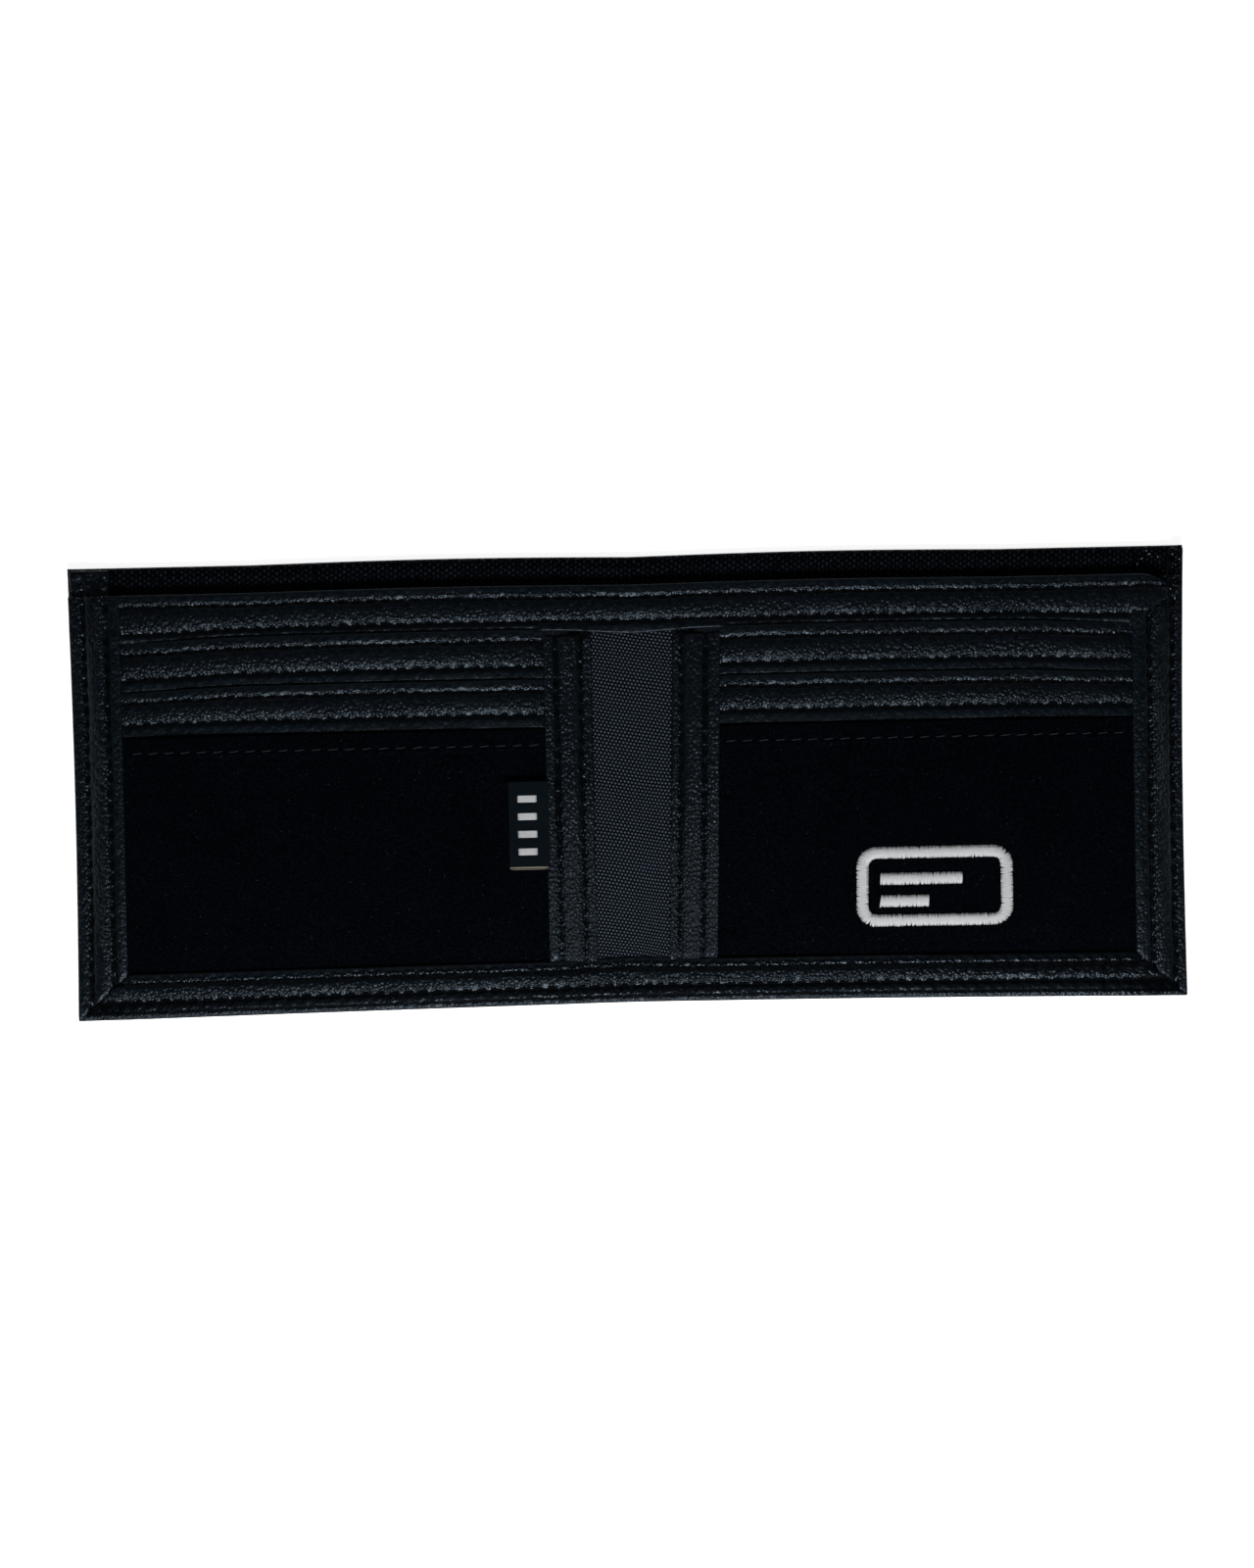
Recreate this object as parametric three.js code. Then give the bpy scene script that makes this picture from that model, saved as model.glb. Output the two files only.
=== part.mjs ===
// A two-wing (bifold) leather wallet, lying open and face up. Millimetres, +Z up.
// The origin is at the middle of the underside, +X runs along the open wallet and
// +Y towards the mouth of the banknote compartment.
// The two wings fold up about the two long creases of the spine.

import * as THREE from 'three';

// Outside size, lying open.
const HALF_WIDTH = 114;
const HALF_HEIGHT = 46;

// The spine between the two fold lines, and the height of the fold axes.
const FOLD_X = 6;
const COVER_THICKNESS = 0.8;

// Sheet thicknesses.
const LINING_THICKNESS = 0.2;
const STIFFENER_THICKNESS = 0.2;
const WALL_THICKNESS = 0.3;
const PANEL_THICKNESS = 0.2;
const LEATHER_THICKNESS = 0.5;
const SUEDE_THICKNESS = 0.5;
const BAND_THICKNESS = 0.7;
const LABEL_THICKNESS = 0.5;
const EMBROIDERY_THICKNESS = 0.3;

// Clearance between one sheet and the next, and between pieces that lie end to end.
const GAP = 0.1;
const BUTT_GAP = 0.2;

// Heights of the flat sheets, and of the inner wall where it is sewn down and where it lies free.
const STIFFENER_Z = COVER_THICKNESS + GAP;
const LINING_Z = STIFFENER_Z + STIFFENER_THICKNESS + GAP;
const SEWN_WALL_Z = LINING_Z + LINING_THICKNESS + GAP;
const FREE_WALL_Z = 2.3;

// Edges across the height of the wallet (Y).
const BILL_MOUTH_Y = 40.2;
const TOP_BAND_Y = 31.4;
const SLOT_2_MOUTH_Y = 21.1;
const POCKET_MOUTH_Y = 11;
const SLOT_LAP = 2.1;
const BOTTOM_BAND_Y = -36.8;
const SLOT_1_FLOOR_Y = -19;
const SLOT_2_FLOOR_Y = -29;
const POCKET_FLOOR_Y = -42;
const WALL_TOP_Y = BILL_MOUTH_Y - 0.5;
const WALL_BOTTOM_Y = -45.5;

// Edges across the width (distance from the middle, the same on both wings).
const CENTRE_BAND_INNER = 8;
const CENTRE_BAND_OUTER = 17.8;
const POCKET_INNER = 12.6;
const POCKET_OUTER = 106.8;
const SIDE_BAND_INNER = 103.4;
const WALL_OUTER = 113.5;
const LINING_OUTER = 112.5;
const CORNER_TAB_INNER = 105.5;
const BOARD_INNER = 9;
const BOARD_OUTER = 111.5;
const HEM = 1;
const MITRE_CLEARANCE = 0.8;

// Where the rigid sheets end beside a fold line, so that they pass each other as the wings fold.
const LINING_END = [5.3, 6.8];
const WALL_END = [4, 8];
const TOP_BAND_END = [3.4, 8.7];
const BOTTOM_BAND_END = [3.2, 8.9];

// How far above the inner wall each layer of the card pockets lies.
const SLOT_PANEL_1_RISE = 0.7;
const SLOT_EDGE_1_RISE = 1;
const SLOT_PANEL_2_RISE = 1.6;
const SLOT_EDGE_2_RISE = 1.9;
const SUEDE_RISE = 2.5;
const BAND_RISE = 3.1;
const HEM_RISE = 0.7;
const SUEDE_TOP_Z = FREE_WALL_Z + WALL_THICKNESS + SUEDE_RISE + SUEDE_THICKNESS;

// Stops of the slopes: distance from the middle or height on the wallet, then a share or a rise.
const WALL_ACROSS = [[104, 1], [112, 0]];
const WALL_ALONG = [[-44, 0], [-36, 1]];
const BAND_ACROSS = [[8.5, 0], [12.5, 1], [107, 1], [113, 0]];
const BAND_ALONG = [
  [-37.2, HEM_RISE],
  [-30, BAND_RISE],
  [POCKET_MOUTH_Y + BUTT_GAP, BAND_RISE],
  [SLOT_2_MOUTH_Y + BUTT_GAP, SUEDE_RISE],
  [TOP_BAND_Y, SLOT_PANEL_2_RISE],
  [36, HEM_RISE],
];
const SUEDE_ALONG = [[-37.2, GAP], [-30, SUEDE_RISE]];
const CREASES_X = [8.5, 12.5, 104, 107, 112, 113];
const CREASES_Y = [-44, -37.2, -36, -30, 11.2, 21.3, 31.4, 36];

// The woven label at the inner edge of the left pocket, and the emblem on the right one.
const LABEL_WIDTH = 7.6;
const LABEL_TOP_Y = 0.4;
const LABEL_BOTTOM_Y = -17.6;
const EMBLEM_X = 62;
const EMBLEM_Y = -22.8;
const EMBLEM_WIDTH = 32;
const EMBLEM_HEIGHT = 16.4;
const EMBLEM_STROKE = 2.4;
const EMBLEM_CORNER = 4;
const EMBLEM_BARS = [[1.6, 17], [-3, 10]];

// Finishes: colour, roughness.
const LEATHER = [0x141b21, 0.5];
const SUEDE = [0x05060a, 0.95];
const NYLON = [0x1f242a, 0.75];
const LINING = [0x0b0c10, 0.85];
const BOARD = [0x5a5248, 0.9];
const POCKET_FABRIC = [0x0e1013, 0.85];
const LABEL_WEAVE = [0x15191d, 0.8];
const EMBROIDERY = [0xe6e7e8, 0.6];

// Reads a list of [place, value] stops as a line of straight slopes, level past both ends.
function slope(stops, place) {
  if (place <= stops[0][0]) {
    return stops[0][1];
  }
  for (let i = 1; i < stops.length; i += 1) {
    const [start, low] = stops[i - 1];
    const [end, high] = stops[i];
    if (place <= end) {
      return THREE.MathUtils.mapLinear(place, start, end, low, high);
    }
  }
  return stops[stops.length - 1][1];
}

// The underside of the inner wall, which is pressed down where it is sewn at the sides and bottom.
function wallUnderside(x, y) {
  const free = slope(WALL_ACROSS, Math.abs(x)) * slope(WALL_ALONG, y);
  return THREE.MathUtils.lerp(SEWN_WALL_Z, FREE_WALL_Z, free);
}

function aboveWall(rise) {
  return (x, y) => wallUnderside(x, y) + WALL_THICKNESS + rise;
}

function suedeUnderside(x, y) {
  return aboveWall(slope(SUEDE_ALONG, y))(x, y);
}

// Side and centre bands run over the ends of the pockets and down to the wall at their sewn edges.
function bandUnderside(x, y) {
  const rise = slope(BAND_ALONG, y) - GAP;
  return aboveWall(GAP + rise * slope(BAND_ACROSS, Math.abs(x)))(x, y);
}

// The bottom band lies on the pocket's hem, and dips to the wall beside the spine.
function bottomBandUnderside(x, y) {
  const share = slope(BAND_ACROSS.slice(0, 2), Math.abs(x));
  return aboveWall(GAP + (HEM_RISE - GAP) * share)(x, y);
}

function flat(z) {
  return () => z;
}

function between(low, high, creases) {
  const inside = creases.filter((crease) => crease > low && crease < high);
  return [low, ...inside, high].sort((a, b) => a - b);
}

// The grid lines of a sheet that runs along the wallet's height.
function rowsOf(low, high) {
  return between(low, high, CREASES_Y);
}

// The grid lines of a sheet on the left (side -1) or right (side 1) wing, between two distances
// from the middle.
function columnsOf(side, inner, outer) {
  return between(inner, outer, CREASES_X).map((line) => side * line).sort((a, b) => a - b);
}

// The grid lines of a sheet that lies across the spine.
function columnsAcross(end) {
  return [-end, end];
}

function mesh(name, geometry, [color, roughness]) {
  const material = new THREE.MeshStandardMaterial({ color, roughness, metalness: 0 });
  const piece = new THREE.Mesh(geometry, material);
  piece.name = name;
  return piece;
}

function asIs(x, y) {
  return [x, y];
}

// A sheet of even thickness on a grid of lines, whose lower face follows underside(x, y).
// place(x, y) may skew its outline.
function sheet(name, finish, xs, ys, underside, thickness, place = asIs) {
  const columns = xs.length - 1;
  const rows = ys.length - 1;
  const geometry = new THREE.BoxGeometry(1, 1, 1, columns, rows, 1);
  const position = geometry.attributes.position;
  for (let i = 0; i < position.count; i += 1) {
    const column = Math.round((position.getX(i) + 0.5) * columns);
    const row = Math.round((position.getY(i) + 0.5) * rows);
    const [x, y] = place(xs[column], ys[row]);
    const lift = position.getZ(i) > 0 ? thickness : 0;
    position.setXYZ(i, x, y, underside(x, y) + lift);
  }
  return mesh(name, geometry, finish);
}

// The mitre between a side band and the bottom band runs from the inner corner to the outer one.
function mitreHeight(distance) {
  const [inner, outer] = [SIDE_BAND_INNER, HALF_WIDTH];
  return THREE.MathUtils.mapLinear(distance, inner, outer, BOTTOM_BAND_Y, -HALF_HEIGHT);
}

function mitreDistance(y) {
  const [inner, outer] = [SIDE_BAND_INNER, HALF_WIDTH];
  return THREE.MathUtils.mapLinear(y, BOTTOM_BAND_Y, -HALF_HEIGHT, inner, outer);
}

function sideBand(name, side, top) {
  const mitred = -HALF_HEIGHT;
  const rows = [mitred, ...rowsOf(BOTTOM_BAND_Y + MITRE_CLEARANCE, top)];
  const place = (x, y) => (y > mitred ? [x, y] : [x, mitreHeight(Math.abs(x)) + BUTT_GAP]);
  const columns = columnsOf(side, SIDE_BAND_INNER, HALF_WIDTH);
  return sheet(name, LEATHER, columns, rows, bandUnderside, BAND_THICKNESS, place);
}

function bottomBand(name, side) {
  const mitred = side * HALF_WIDTH;
  const straight = columnsOf(side, BOTTOM_BAND_END[1], SIDE_BAND_INNER - MITRE_CLEARANCE);
  const columns = [...straight, mitred].sort((a, b) => a - b);
  const rows = rowsOf(-HALF_HEIGHT, BOTTOM_BAND_Y - BUTT_GAP);
  const place = (x, y) => (x === mitred ? [side * (mitreDistance(y) - BUTT_GAP), y] : [x, y]);
  return sheet(name, LEATHER, columns, rows, bottomBandUnderside, BAND_THICKNESS, place);
}

// The outer shell of one wing: leather cover, stiffening board and compartment lining.
function shell(wing, side) {
  const coverRows = [-HALF_HEIGHT, HALF_HEIGHT];
  const liningRows = [-HALF_HEIGHT + HEM, HALF_HEIGHT - HEM];
  const boardRows = [-HALF_HEIGHT + 2 * HEM, HALF_HEIGHT - 2 * HEM];
  const coverColumns = [side * (FOLD_X + GAP / 2), side * HALF_WIDTH].sort((a, b) => a - b);
  const boardColumns = [side * BOARD_INNER, side * BOARD_OUTER].sort((a, b) => a - b);
  const liningColumns = [side * LINING_END[1], side * LINING_OUTER].sort((a, b) => a - b);
  return [
    sheet(`cover_${wing}`, LEATHER, coverColumns, coverRows, flat(0), COVER_THICKNESS),
    sheet(`stiffener_${wing}`, BOARD, boardColumns, boardRows, flat(STIFFENER_Z),
      STIFFENER_THICKNESS),
    sheet(`lining_${wing}`, LINING, liningColumns, liningRows, flat(LINING_Z), LINING_THICKNESS),
  ];
}

// The card side of one wing: two card slots, the suede pocket in front of them, and the wall behind.
function pockets(wing, side) {
  const columns = columnsOf(side, POCKET_INNER, POCKET_OUTER);
  const wallColumns = columnsOf(side, WALL_END[1], WALL_OUTER);
  const slot1Mouth = TOP_BAND_Y - BUTT_GAP;
  return [
    sheet(`inner_wall_${wing}`, NYLON, wallColumns, rowsOf(WALL_BOTTOM_Y, WALL_TOP_Y),
      wallUnderside, WALL_THICKNESS),
    sheet(`slot_panel_1_${wing}`, POCKET_FABRIC, columns, rowsOf(SLOT_1_FLOOR_Y, slot1Mouth - HEM),
      aboveWall(SLOT_PANEL_1_RISE), PANEL_THICKNESS),
    sheet(`slot_edge_1_${wing}`, LEATHER, columns, rowsOf(SLOT_2_MOUTH_Y - SLOT_LAP, slot1Mouth),
      aboveWall(SLOT_EDGE_1_RISE), LEATHER_THICKNESS),
    sheet(`slot_panel_2_${wing}`, POCKET_FABRIC, columns, rowsOf(SLOT_2_FLOOR_Y, SLOT_2_MOUTH_Y - HEM),
      aboveWall(SLOT_PANEL_2_RISE), PANEL_THICKNESS),
    sheet(`slot_edge_2_${wing}`, LEATHER, columns, rowsOf(POCKET_MOUTH_Y - SLOT_LAP, SLOT_2_MOUTH_Y),
      aboveWall(SLOT_EDGE_2_RISE), LEATHER_THICKNESS),
    sheet(`suede_pocket_${wing}`, SUEDE, columns, rowsOf(POCKET_FLOOR_Y, POCKET_MOUTH_Y),
      suedeUnderside, SUEDE_THICKNESS),
  ];
}

// The leather bands that frame one wing. On the left wing the side band covers the end of the top
// band; on the right wing the top band runs out over the end of the side band.
function bands(wing, side) {
  const sideBandOnTop = side < 0;
  const topBandOuter = sideBandOnTop ? POCKET_OUTER : WALL_OUTER;
  const sideBandTop = sideBandOnTop ? BILL_MOUTH_Y : TOP_BAND_Y - BUTT_GAP;
  return [
    sheet(`top_band_${wing}`, LEATHER, columnsOf(side, TOP_BAND_END[1], topBandOuter),
      rowsOf(TOP_BAND_Y, BILL_MOUTH_Y), aboveWall(GAP), LEATHER_THICKNESS),
    sheet(`centre_band_${wing}`, LEATHER, columnsOf(side, CENTRE_BAND_INNER, CENTRE_BAND_OUTER),
      rowsOf(BOTTOM_BAND_Y, TOP_BAND_Y - BUTT_GAP), bandUnderside, BAND_THICKNESS),
    sideBand(`side_band_${wing}`, side, sideBandTop),
    bottomBand(`bottom_band_${wing}`, side),
  ];
}

// The small turned piece of leather at the left end of the compartment's mouth.
function cornerTab() {
  const columns = [-LINING_OUTER, -CORNER_TAB_INNER];
  const rows = [BILL_MOUTH_Y + BUTT_GAP, HALF_HEIGHT - HEM];
  return sheet('corner_tab_left', LEATHER, columns, rows, flat(SEWN_WALL_Z), LEATHER_THICKNESS);
}

// The strip between the fold lines, where only the cover, the lining, the wall and two bands run.
function spine() {
  const liningRows = [-HALF_HEIGHT + HEM, HALF_HEIGHT - HEM];
  const bottomRows = rowsOf(-HALF_HEIGHT, BOTTOM_BAND_Y - BUTT_GAP);
  return [
    sheet('cover_spine', LEATHER, columnsAcross(FOLD_X - GAP / 2), [-HALF_HEIGHT, HALF_HEIGHT],
      flat(0), COVER_THICKNESS),
    sheet('lining_spine', LINING, columnsAcross(LINING_END[0]), liningRows, flat(LINING_Z),
      LINING_THICKNESS),
    sheet('inner_wall_spine', NYLON, columnsAcross(WALL_END[0]), rowsOf(WALL_BOTTOM_Y, WALL_TOP_Y),
      wallUnderside, WALL_THICKNESS),
    sheet('top_band_spine', LEATHER, columnsAcross(TOP_BAND_END[0]), rowsOf(TOP_BAND_Y, BILL_MOUTH_Y),
      aboveWall(GAP), LEATHER_THICKNESS),
    sheet('bottom_band_spine', LEATHER, columnsAcross(BOTTOM_BAND_END[0]), bottomRows,
      bottomBandUnderside, BAND_THICKNESS),
  ];
}

function label() {
  const hinge = -CENTRE_BAND_OUTER - GAP;
  return sheet('woven_label', LABEL_WEAVE, [hinge - LABEL_WIDTH, hinge],
    [LABEL_BOTTOM_Y, LABEL_TOP_Y], flat(SUEDE_TOP_Z + GAP), LABEL_THICKNESS);
}

function roundedOutline(path, width, height, corner) {
  const x = width / 2 - corner;
  const y = height / 2 - corner;
  path.absarc(x, y, corner, 0, Math.PI / 2);
  path.absarc(-x, y, corner, Math.PI / 2, Math.PI);
  path.absarc(-x, -y, corner, Math.PI, 1.5 * Math.PI);
  path.absarc(x, -y, corner, 1.5 * Math.PI, 2 * Math.PI);
  path.closePath();
  return path;
}

function patch(name, shape, x, y) {
  const options = { depth: EMBROIDERY_THICKNESS, bevelEnabled: false, curveSegments: 6 };
  const piece = mesh(name, new THREE.ExtrudeGeometry(shape, options), EMBROIDERY);
  piece.position.set(x, y, SUEDE_TOP_Z + GAP);
  return piece;
}

// A plain card sign in raised stitching: a rounded frame with two lines in it.
function emblem() {
  const frame = roundedOutline(new THREE.Shape(), EMBLEM_WIDTH, EMBLEM_HEIGHT, EMBLEM_CORNER);
  const windowWidth = EMBLEM_WIDTH - 2 * EMBLEM_STROKE;
  const windowHeight = EMBLEM_HEIGHT - 2 * EMBLEM_STROKE;
  const windowCorner = EMBLEM_CORNER - EMBLEM_STROKE;
  frame.holes.push(roundedOutline(new THREE.Path(), windowWidth, windowHeight, windowCorner));
  const left = EMBLEM_X - windowWidth / 2 + EMBLEM_STROKE;
  const bars = EMBLEM_BARS.map(([rise, length], index) => {
    const bar = roundedOutline(new THREE.Shape(), length, EMBLEM_STROKE, EMBLEM_STROKE / 2);
    return patch(`emblem_bar_${index + 1}`, bar, left + length / 2, EMBLEM_Y + rise);
  });
  return [patch('emblem_frame', frame, EMBLEM_X, EMBLEM_Y), ...bars];
}

const wallet = new THREE.Group();
wallet.add(...shell('left', -1), ...pockets('left', -1), ...bands('left', -1), cornerTab());
wallet.add(...spine());
wallet.add(...shell('right', 1), ...pockets('right', 1), ...bands('right', 1));
wallet.add(label(), ...emblem());

export default wallet;
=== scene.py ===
import math

import bpy
import numpy as np
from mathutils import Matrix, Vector


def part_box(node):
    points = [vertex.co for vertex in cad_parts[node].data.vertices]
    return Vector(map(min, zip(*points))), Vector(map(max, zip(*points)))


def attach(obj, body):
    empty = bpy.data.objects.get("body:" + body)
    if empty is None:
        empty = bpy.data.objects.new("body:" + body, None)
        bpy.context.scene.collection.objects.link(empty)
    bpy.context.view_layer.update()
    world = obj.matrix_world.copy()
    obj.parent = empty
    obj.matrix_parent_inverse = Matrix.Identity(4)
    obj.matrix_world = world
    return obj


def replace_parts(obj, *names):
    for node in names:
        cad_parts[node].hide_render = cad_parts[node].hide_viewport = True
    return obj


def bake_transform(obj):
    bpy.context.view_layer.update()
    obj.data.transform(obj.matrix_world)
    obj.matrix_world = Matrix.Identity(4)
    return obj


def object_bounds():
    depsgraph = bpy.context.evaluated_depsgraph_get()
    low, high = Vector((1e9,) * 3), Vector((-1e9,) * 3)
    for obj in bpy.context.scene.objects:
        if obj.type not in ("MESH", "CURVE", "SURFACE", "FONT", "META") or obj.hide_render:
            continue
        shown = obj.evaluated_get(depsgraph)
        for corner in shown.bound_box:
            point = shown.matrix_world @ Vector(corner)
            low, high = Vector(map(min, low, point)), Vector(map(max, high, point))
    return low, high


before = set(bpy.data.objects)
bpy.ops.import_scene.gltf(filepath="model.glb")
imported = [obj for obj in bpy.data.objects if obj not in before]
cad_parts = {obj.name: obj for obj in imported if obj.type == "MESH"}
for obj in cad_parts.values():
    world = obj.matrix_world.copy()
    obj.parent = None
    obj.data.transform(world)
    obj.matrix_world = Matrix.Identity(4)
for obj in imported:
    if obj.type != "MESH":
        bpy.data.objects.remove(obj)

# The looks of an open bifold wallet. Lengths are in millimetres until a mesh is made.
# Every piece takes its place from the CAD node that it stands for.

CAD_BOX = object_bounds()
MM = 0.001
SEED = 716


def span_of(node):
    """A CAD node's lowest and highest corner, in millimetres."""
    low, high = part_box(node)
    return [value / MM for value in low], [value / MM for value in high]


# ---------------------------------------------------------------- driving sizes

HALF_WIDTH, HALF_HEIGHT = CAD_BOX[1].x / MM, CAD_BOX[1].y / MM
MOUTH = span_of("top_band_left")[1][1]
TOP_BAND_EDGE = span_of("top_band_left")[0][1]
SLOT_1_MOUTH = span_of("slot_edge_1_left")[1][1]
SLOT_2_MOUTH = span_of("slot_edge_2_left")[1][1]
POCKET_MOUTH = span_of("suede_pocket_left")[1][1]
BOTTOM_BAND_EDGE = span_of("bottom_band_left")[1][1]
CENTRE_BAND_INNER = span_of("centre_band_right")[0][0]
CENTRE_BAND_OUTER = span_of("centre_band_right")[1][0]
SIDE_BAND_INNER = span_of("side_band_right")[0][0]
POCKET_INNER = span_of("suede_pocket_right")[0][0]
POCKET_OUTER = span_of("suede_pocket_right")[1][0]
LABEL_LOW, LABEL_HIGH = span_of("woven_label")
EMBLEM_LOW, EMBLEM_HIGH = span_of("emblem_frame")

COVER = span_of("cover_left")[1][2]
LINING_LOW = span_of("lining_left")[0][2]
LINING_TOP = span_of("lining_left")[1][2]
WALL = 0.3
WALL_SEWN = span_of("inner_wall_left")[0][2] + WALL
WALL_FREE = span_of("inner_wall_left")[1][2]

# Heights above the inner wall of each layer of the pockets, where it isn't pressed by a seam.
TOP_BAND_RISE = (0.05, 0.6)
SLOT_PANEL_1_RISE = (0.4, 0.55)
SLOT_EDGE_1_RISE = (0.65, 1.2)
SLOT_PANEL_2_RISE = (1.03, 1.18)
SLOT_EDGE_2_RISE = (1.25, 1.8)
SUEDE_RISE = (1.85, 2.35)
HEM_THICKNESS = 0.14
BAND_RISE = 2.45
BAND = 0.6
PUFF = 0.42
GROOVE = 0.5
GROOVE_REACH = 0.55
THREAD_RADIUS = 0.27
LAP = 1.4
SPINE_SHIFT = 1.0
TONGUE_END = HALF_WIDTH - 3.2
MITRE_DEPTH = {-1: 0.3, 1: 0.12}

# The bottom band: where its columns start to close up to the mitre, and where its paler edges end (edge wear
# with painted highlight).
SQUEEZE_START = 96
PALE_EDGE_END = 60

# Rows of stitches, as distances from the band's first edge.
TOP_BAND_ROWS = (2.5, 7.3)
SLOT_1_ROWS = (2.4, 7.5)
SLOT_2_ROWS = (2.3, 7.1)
BOTTOM_BAND_ROWS = (2.0, 5.4)
CENTRE_BAND_ROWS = {-1: (2.3, 7.3), 1: (2.0, 6.8)}
SIDE_BAND_ROWS = {-1: (3.0, 7.8), 1: (2.3, 7.1)}
COVER_ROWS = (2.6, 7.2)
COVER_RIM = 9
HEM_ROW = 3.3
PITCH = 2.9
HEM_PITCH = 3.35

# The stretch beside each fold line, over which a piece that crosses it gets closer grid lines.
FOLD = span_of("cover_spine")[1][0]
BEND = 3.2


# ---------------------------------------------------------------- shapes

def ease(stops, at):
    """Reads [place, value] stops and eases from each value to the next."""
    places = [place for place, _ in stops]
    values = np.array([value for _, value in stops])
    position = np.interp(at, places, np.arange(len(places)))
    index = np.minimum(position.astype(int), len(places) - 2)
    share = position - index
    share = share * share * (3 - 2 * share)
    return values[index] * (1 - share) + values[index + 1] * share


def waves(seed, length, count=9):
    """A smooth seeded waviness over x and y, mostly between -1 and 1."""
    draw = np.random.default_rng(SEED + seed)
    angles = draw.uniform(0, 2 * np.pi, count)
    phases = draw.uniform(0, 2 * np.pi, count)
    lengths = length * draw.uniform(0.6, 1.7, count)

    def height(x, y):
        total = np.zeros_like(x)
        for angle, phase, size in zip(angles, phases, lengths):
            total += np.sin((x * np.cos(angle) + y * np.sin(angle)) * 2 * np.pi / size + phase)
        return total / np.sqrt(count / 2) / 1.5

    return height


def stops(low, high, step, rim=0.0):
    """Grid lines from low to high about a step apart, closer together beside the two ends."""
    count = max(2, round((high - low - 2 * rim) / step) + 1)
    inner = np.linspace(low + rim, high - rim, count)
    if not rim:
        return inner
    near = rim * (1 - np.cos(np.linspace(0, np.pi / 2, 6)))[:-1]
    return np.concatenate([low + near, inner, high - near[::-1]])


def edge_drop(x, y, edges, radius):
    """How far a face rounds away beside the free edges (low x, high x, low y, high y; None is sewn in)."""
    distance = np.full_like(x, radius)
    for place, edge, inward in zip((x, x, y, y), edges, (1, -1, 1, -1)):
        if edge is not None:
            distance = np.minimum(distance, inward * (place - edge))
    share = 1 - np.clip(distance / radius, 0, 1)
    return radius * (1 - np.sqrt(1 - share ** 2))


def settle(points):
    """The small bows of a used wallet, which every piece follows in the same way."""
    x, y = points[:, 0], points[:, 1]
    across, up = x / HALF_WIDTH, y / HALF_HEIGHT
    out = np.abs(across)
    low, high = np.clip(-up, 0, 1) ** 2, np.clip(up, 0, 1) ** 2

    sag = np.where(x < 0, 1.55 * out ** 1.2, 1.15 * out ** 1.9) - 0.85
    rise = 0.45 * np.sin(np.pi * np.clip(out * 1.5, 0, 1)) - 0.15
    end = out ** 4
    lean = np.where(x < 0, 0.85 - 0.25 * up - 0.5 * up ** 2, -0.7 + 0.52 * up + 0.53 * up ** 2)
    skew = 0.0287 * (y - 10) * ease([(0, 0), (CENTRE_BAND_INNER, 1)], x)
    aside = (SPINE_SHIFT + skew) * ease([(26, 1), (75, 0)], np.abs(x))

    spine = np.exp(-(x / 9.5) ** 2)
    foot_swell = ease([(-44.5, 0), (BOTTOM_BAND_EDGE - 1, 1), (BOTTOM_BAND_EDGE + 0.5, 1), (-31, 0)], y)
    at_slots = ease([(POCKET_MOUTH - 3, 0), (SLOT_2_MOUTH, 1), (TOP_BAND_EDGE + 1, 1), (MOUTH - 2, 0)], y)
    droop = ease([(76, 0), (SIDE_BAND_INNER, 1)], np.abs(x)) * at_slots

    moved = points.copy()
    moved[:, 0] += end * lean + aside
    moved[:, 1] += high * rise - low * sag + 0.5 * spine * foot_swell - 0.9 * droop
    return moved


def finish_mesh(name, points, faces, material, grain=None, painted_light_and_wear=None, crease=50):
    """Makes the object from points in millimetres, and keeps what its material needs at each point."""
    mesh = bpy.data.meshes.new(name)
    mesh.from_pydata((settle(points) * MM).tolist(), [], faces)
    mesh.polygons.foreach_set("use_smooth", [True] * len(mesh.polygons))
    mesh.set_sharp_from_angle(angle=math.radians(crease))
    rest = mesh.attributes.new("rest", "FLOAT_VECTOR", "POINT")
    rest.data.foreach_set("vector", points.astype(np.float32).ravel())
    # The second attribute carries painted light and wear: painted shade above 0, painted highlight and paler
    # worn edges below 0.
    for label, values, plain in (("grain", grain, 1.0), ("painted_light_and_wear", painted_light_and_wear, 0.0)):
        values = np.full(len(points), plain) if values is None else values
        amount = mesh.attributes.new(label, "FLOAT", "POINT")
        amount.data.foreach_set("value", values.astype(np.float32))
    mesh.materials.append(material)
    made = bpy.data.objects.new(name, mesh)
    bpy.context.scene.collection.objects.link(made)
    return made


def grid_faces(rows, columns):
    """Faces of a closed body of two grids, the upper one first, joined round their rims."""
    ids = np.arange(rows * columns).reshape(rows, columns)
    cells = np.stack([ids[:-1, :-1], ids[:-1, 1:], ids[1:, 1:], ids[1:, :-1]], -1).reshape(-1, 4)
    under = cells[:, ::-1] + rows * columns
    rim = np.concatenate([ids[0, :-1], ids[:-1, -1], ids[-1, :0:-1], ids[:0:-1, 0]])
    after = np.roll(rim, -1)
    low = rows * columns
    sides = np.stack([rim + low, after + low, after, rim], -1)
    return np.concatenate([cells, under, sides]).tolist()


def sheet(name, grid, top, bottom, material, grain=None, painted_light_and_wear=None):
    """A closed sheet between two faces that are functions of x and y, as grain and the painted light and wear
    are.
    """
    x, y = grid
    upper = top(x, y)
    lower = np.minimum(bottom(x, y), upper - 0.04)
    points = np.concatenate([
        np.stack([x, y, upper], -1).reshape(-1, 3),
        np.stack([x, y, lower], -1).reshape(-1, 3),
    ])
    amounts = [None if given is None else np.tile(given(x, y).ravel(), 2) for given in (grain, painted_light_and_wear)]
    return finish_mesh(name, points, grid_faces(*x.shape), material, *amounts)


# ---------------------------------------------------------------- heights of the layers

def level_at(value):
    """The same value at every x and y."""
    return lambda x, y: np.full_like(x, value)


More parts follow.
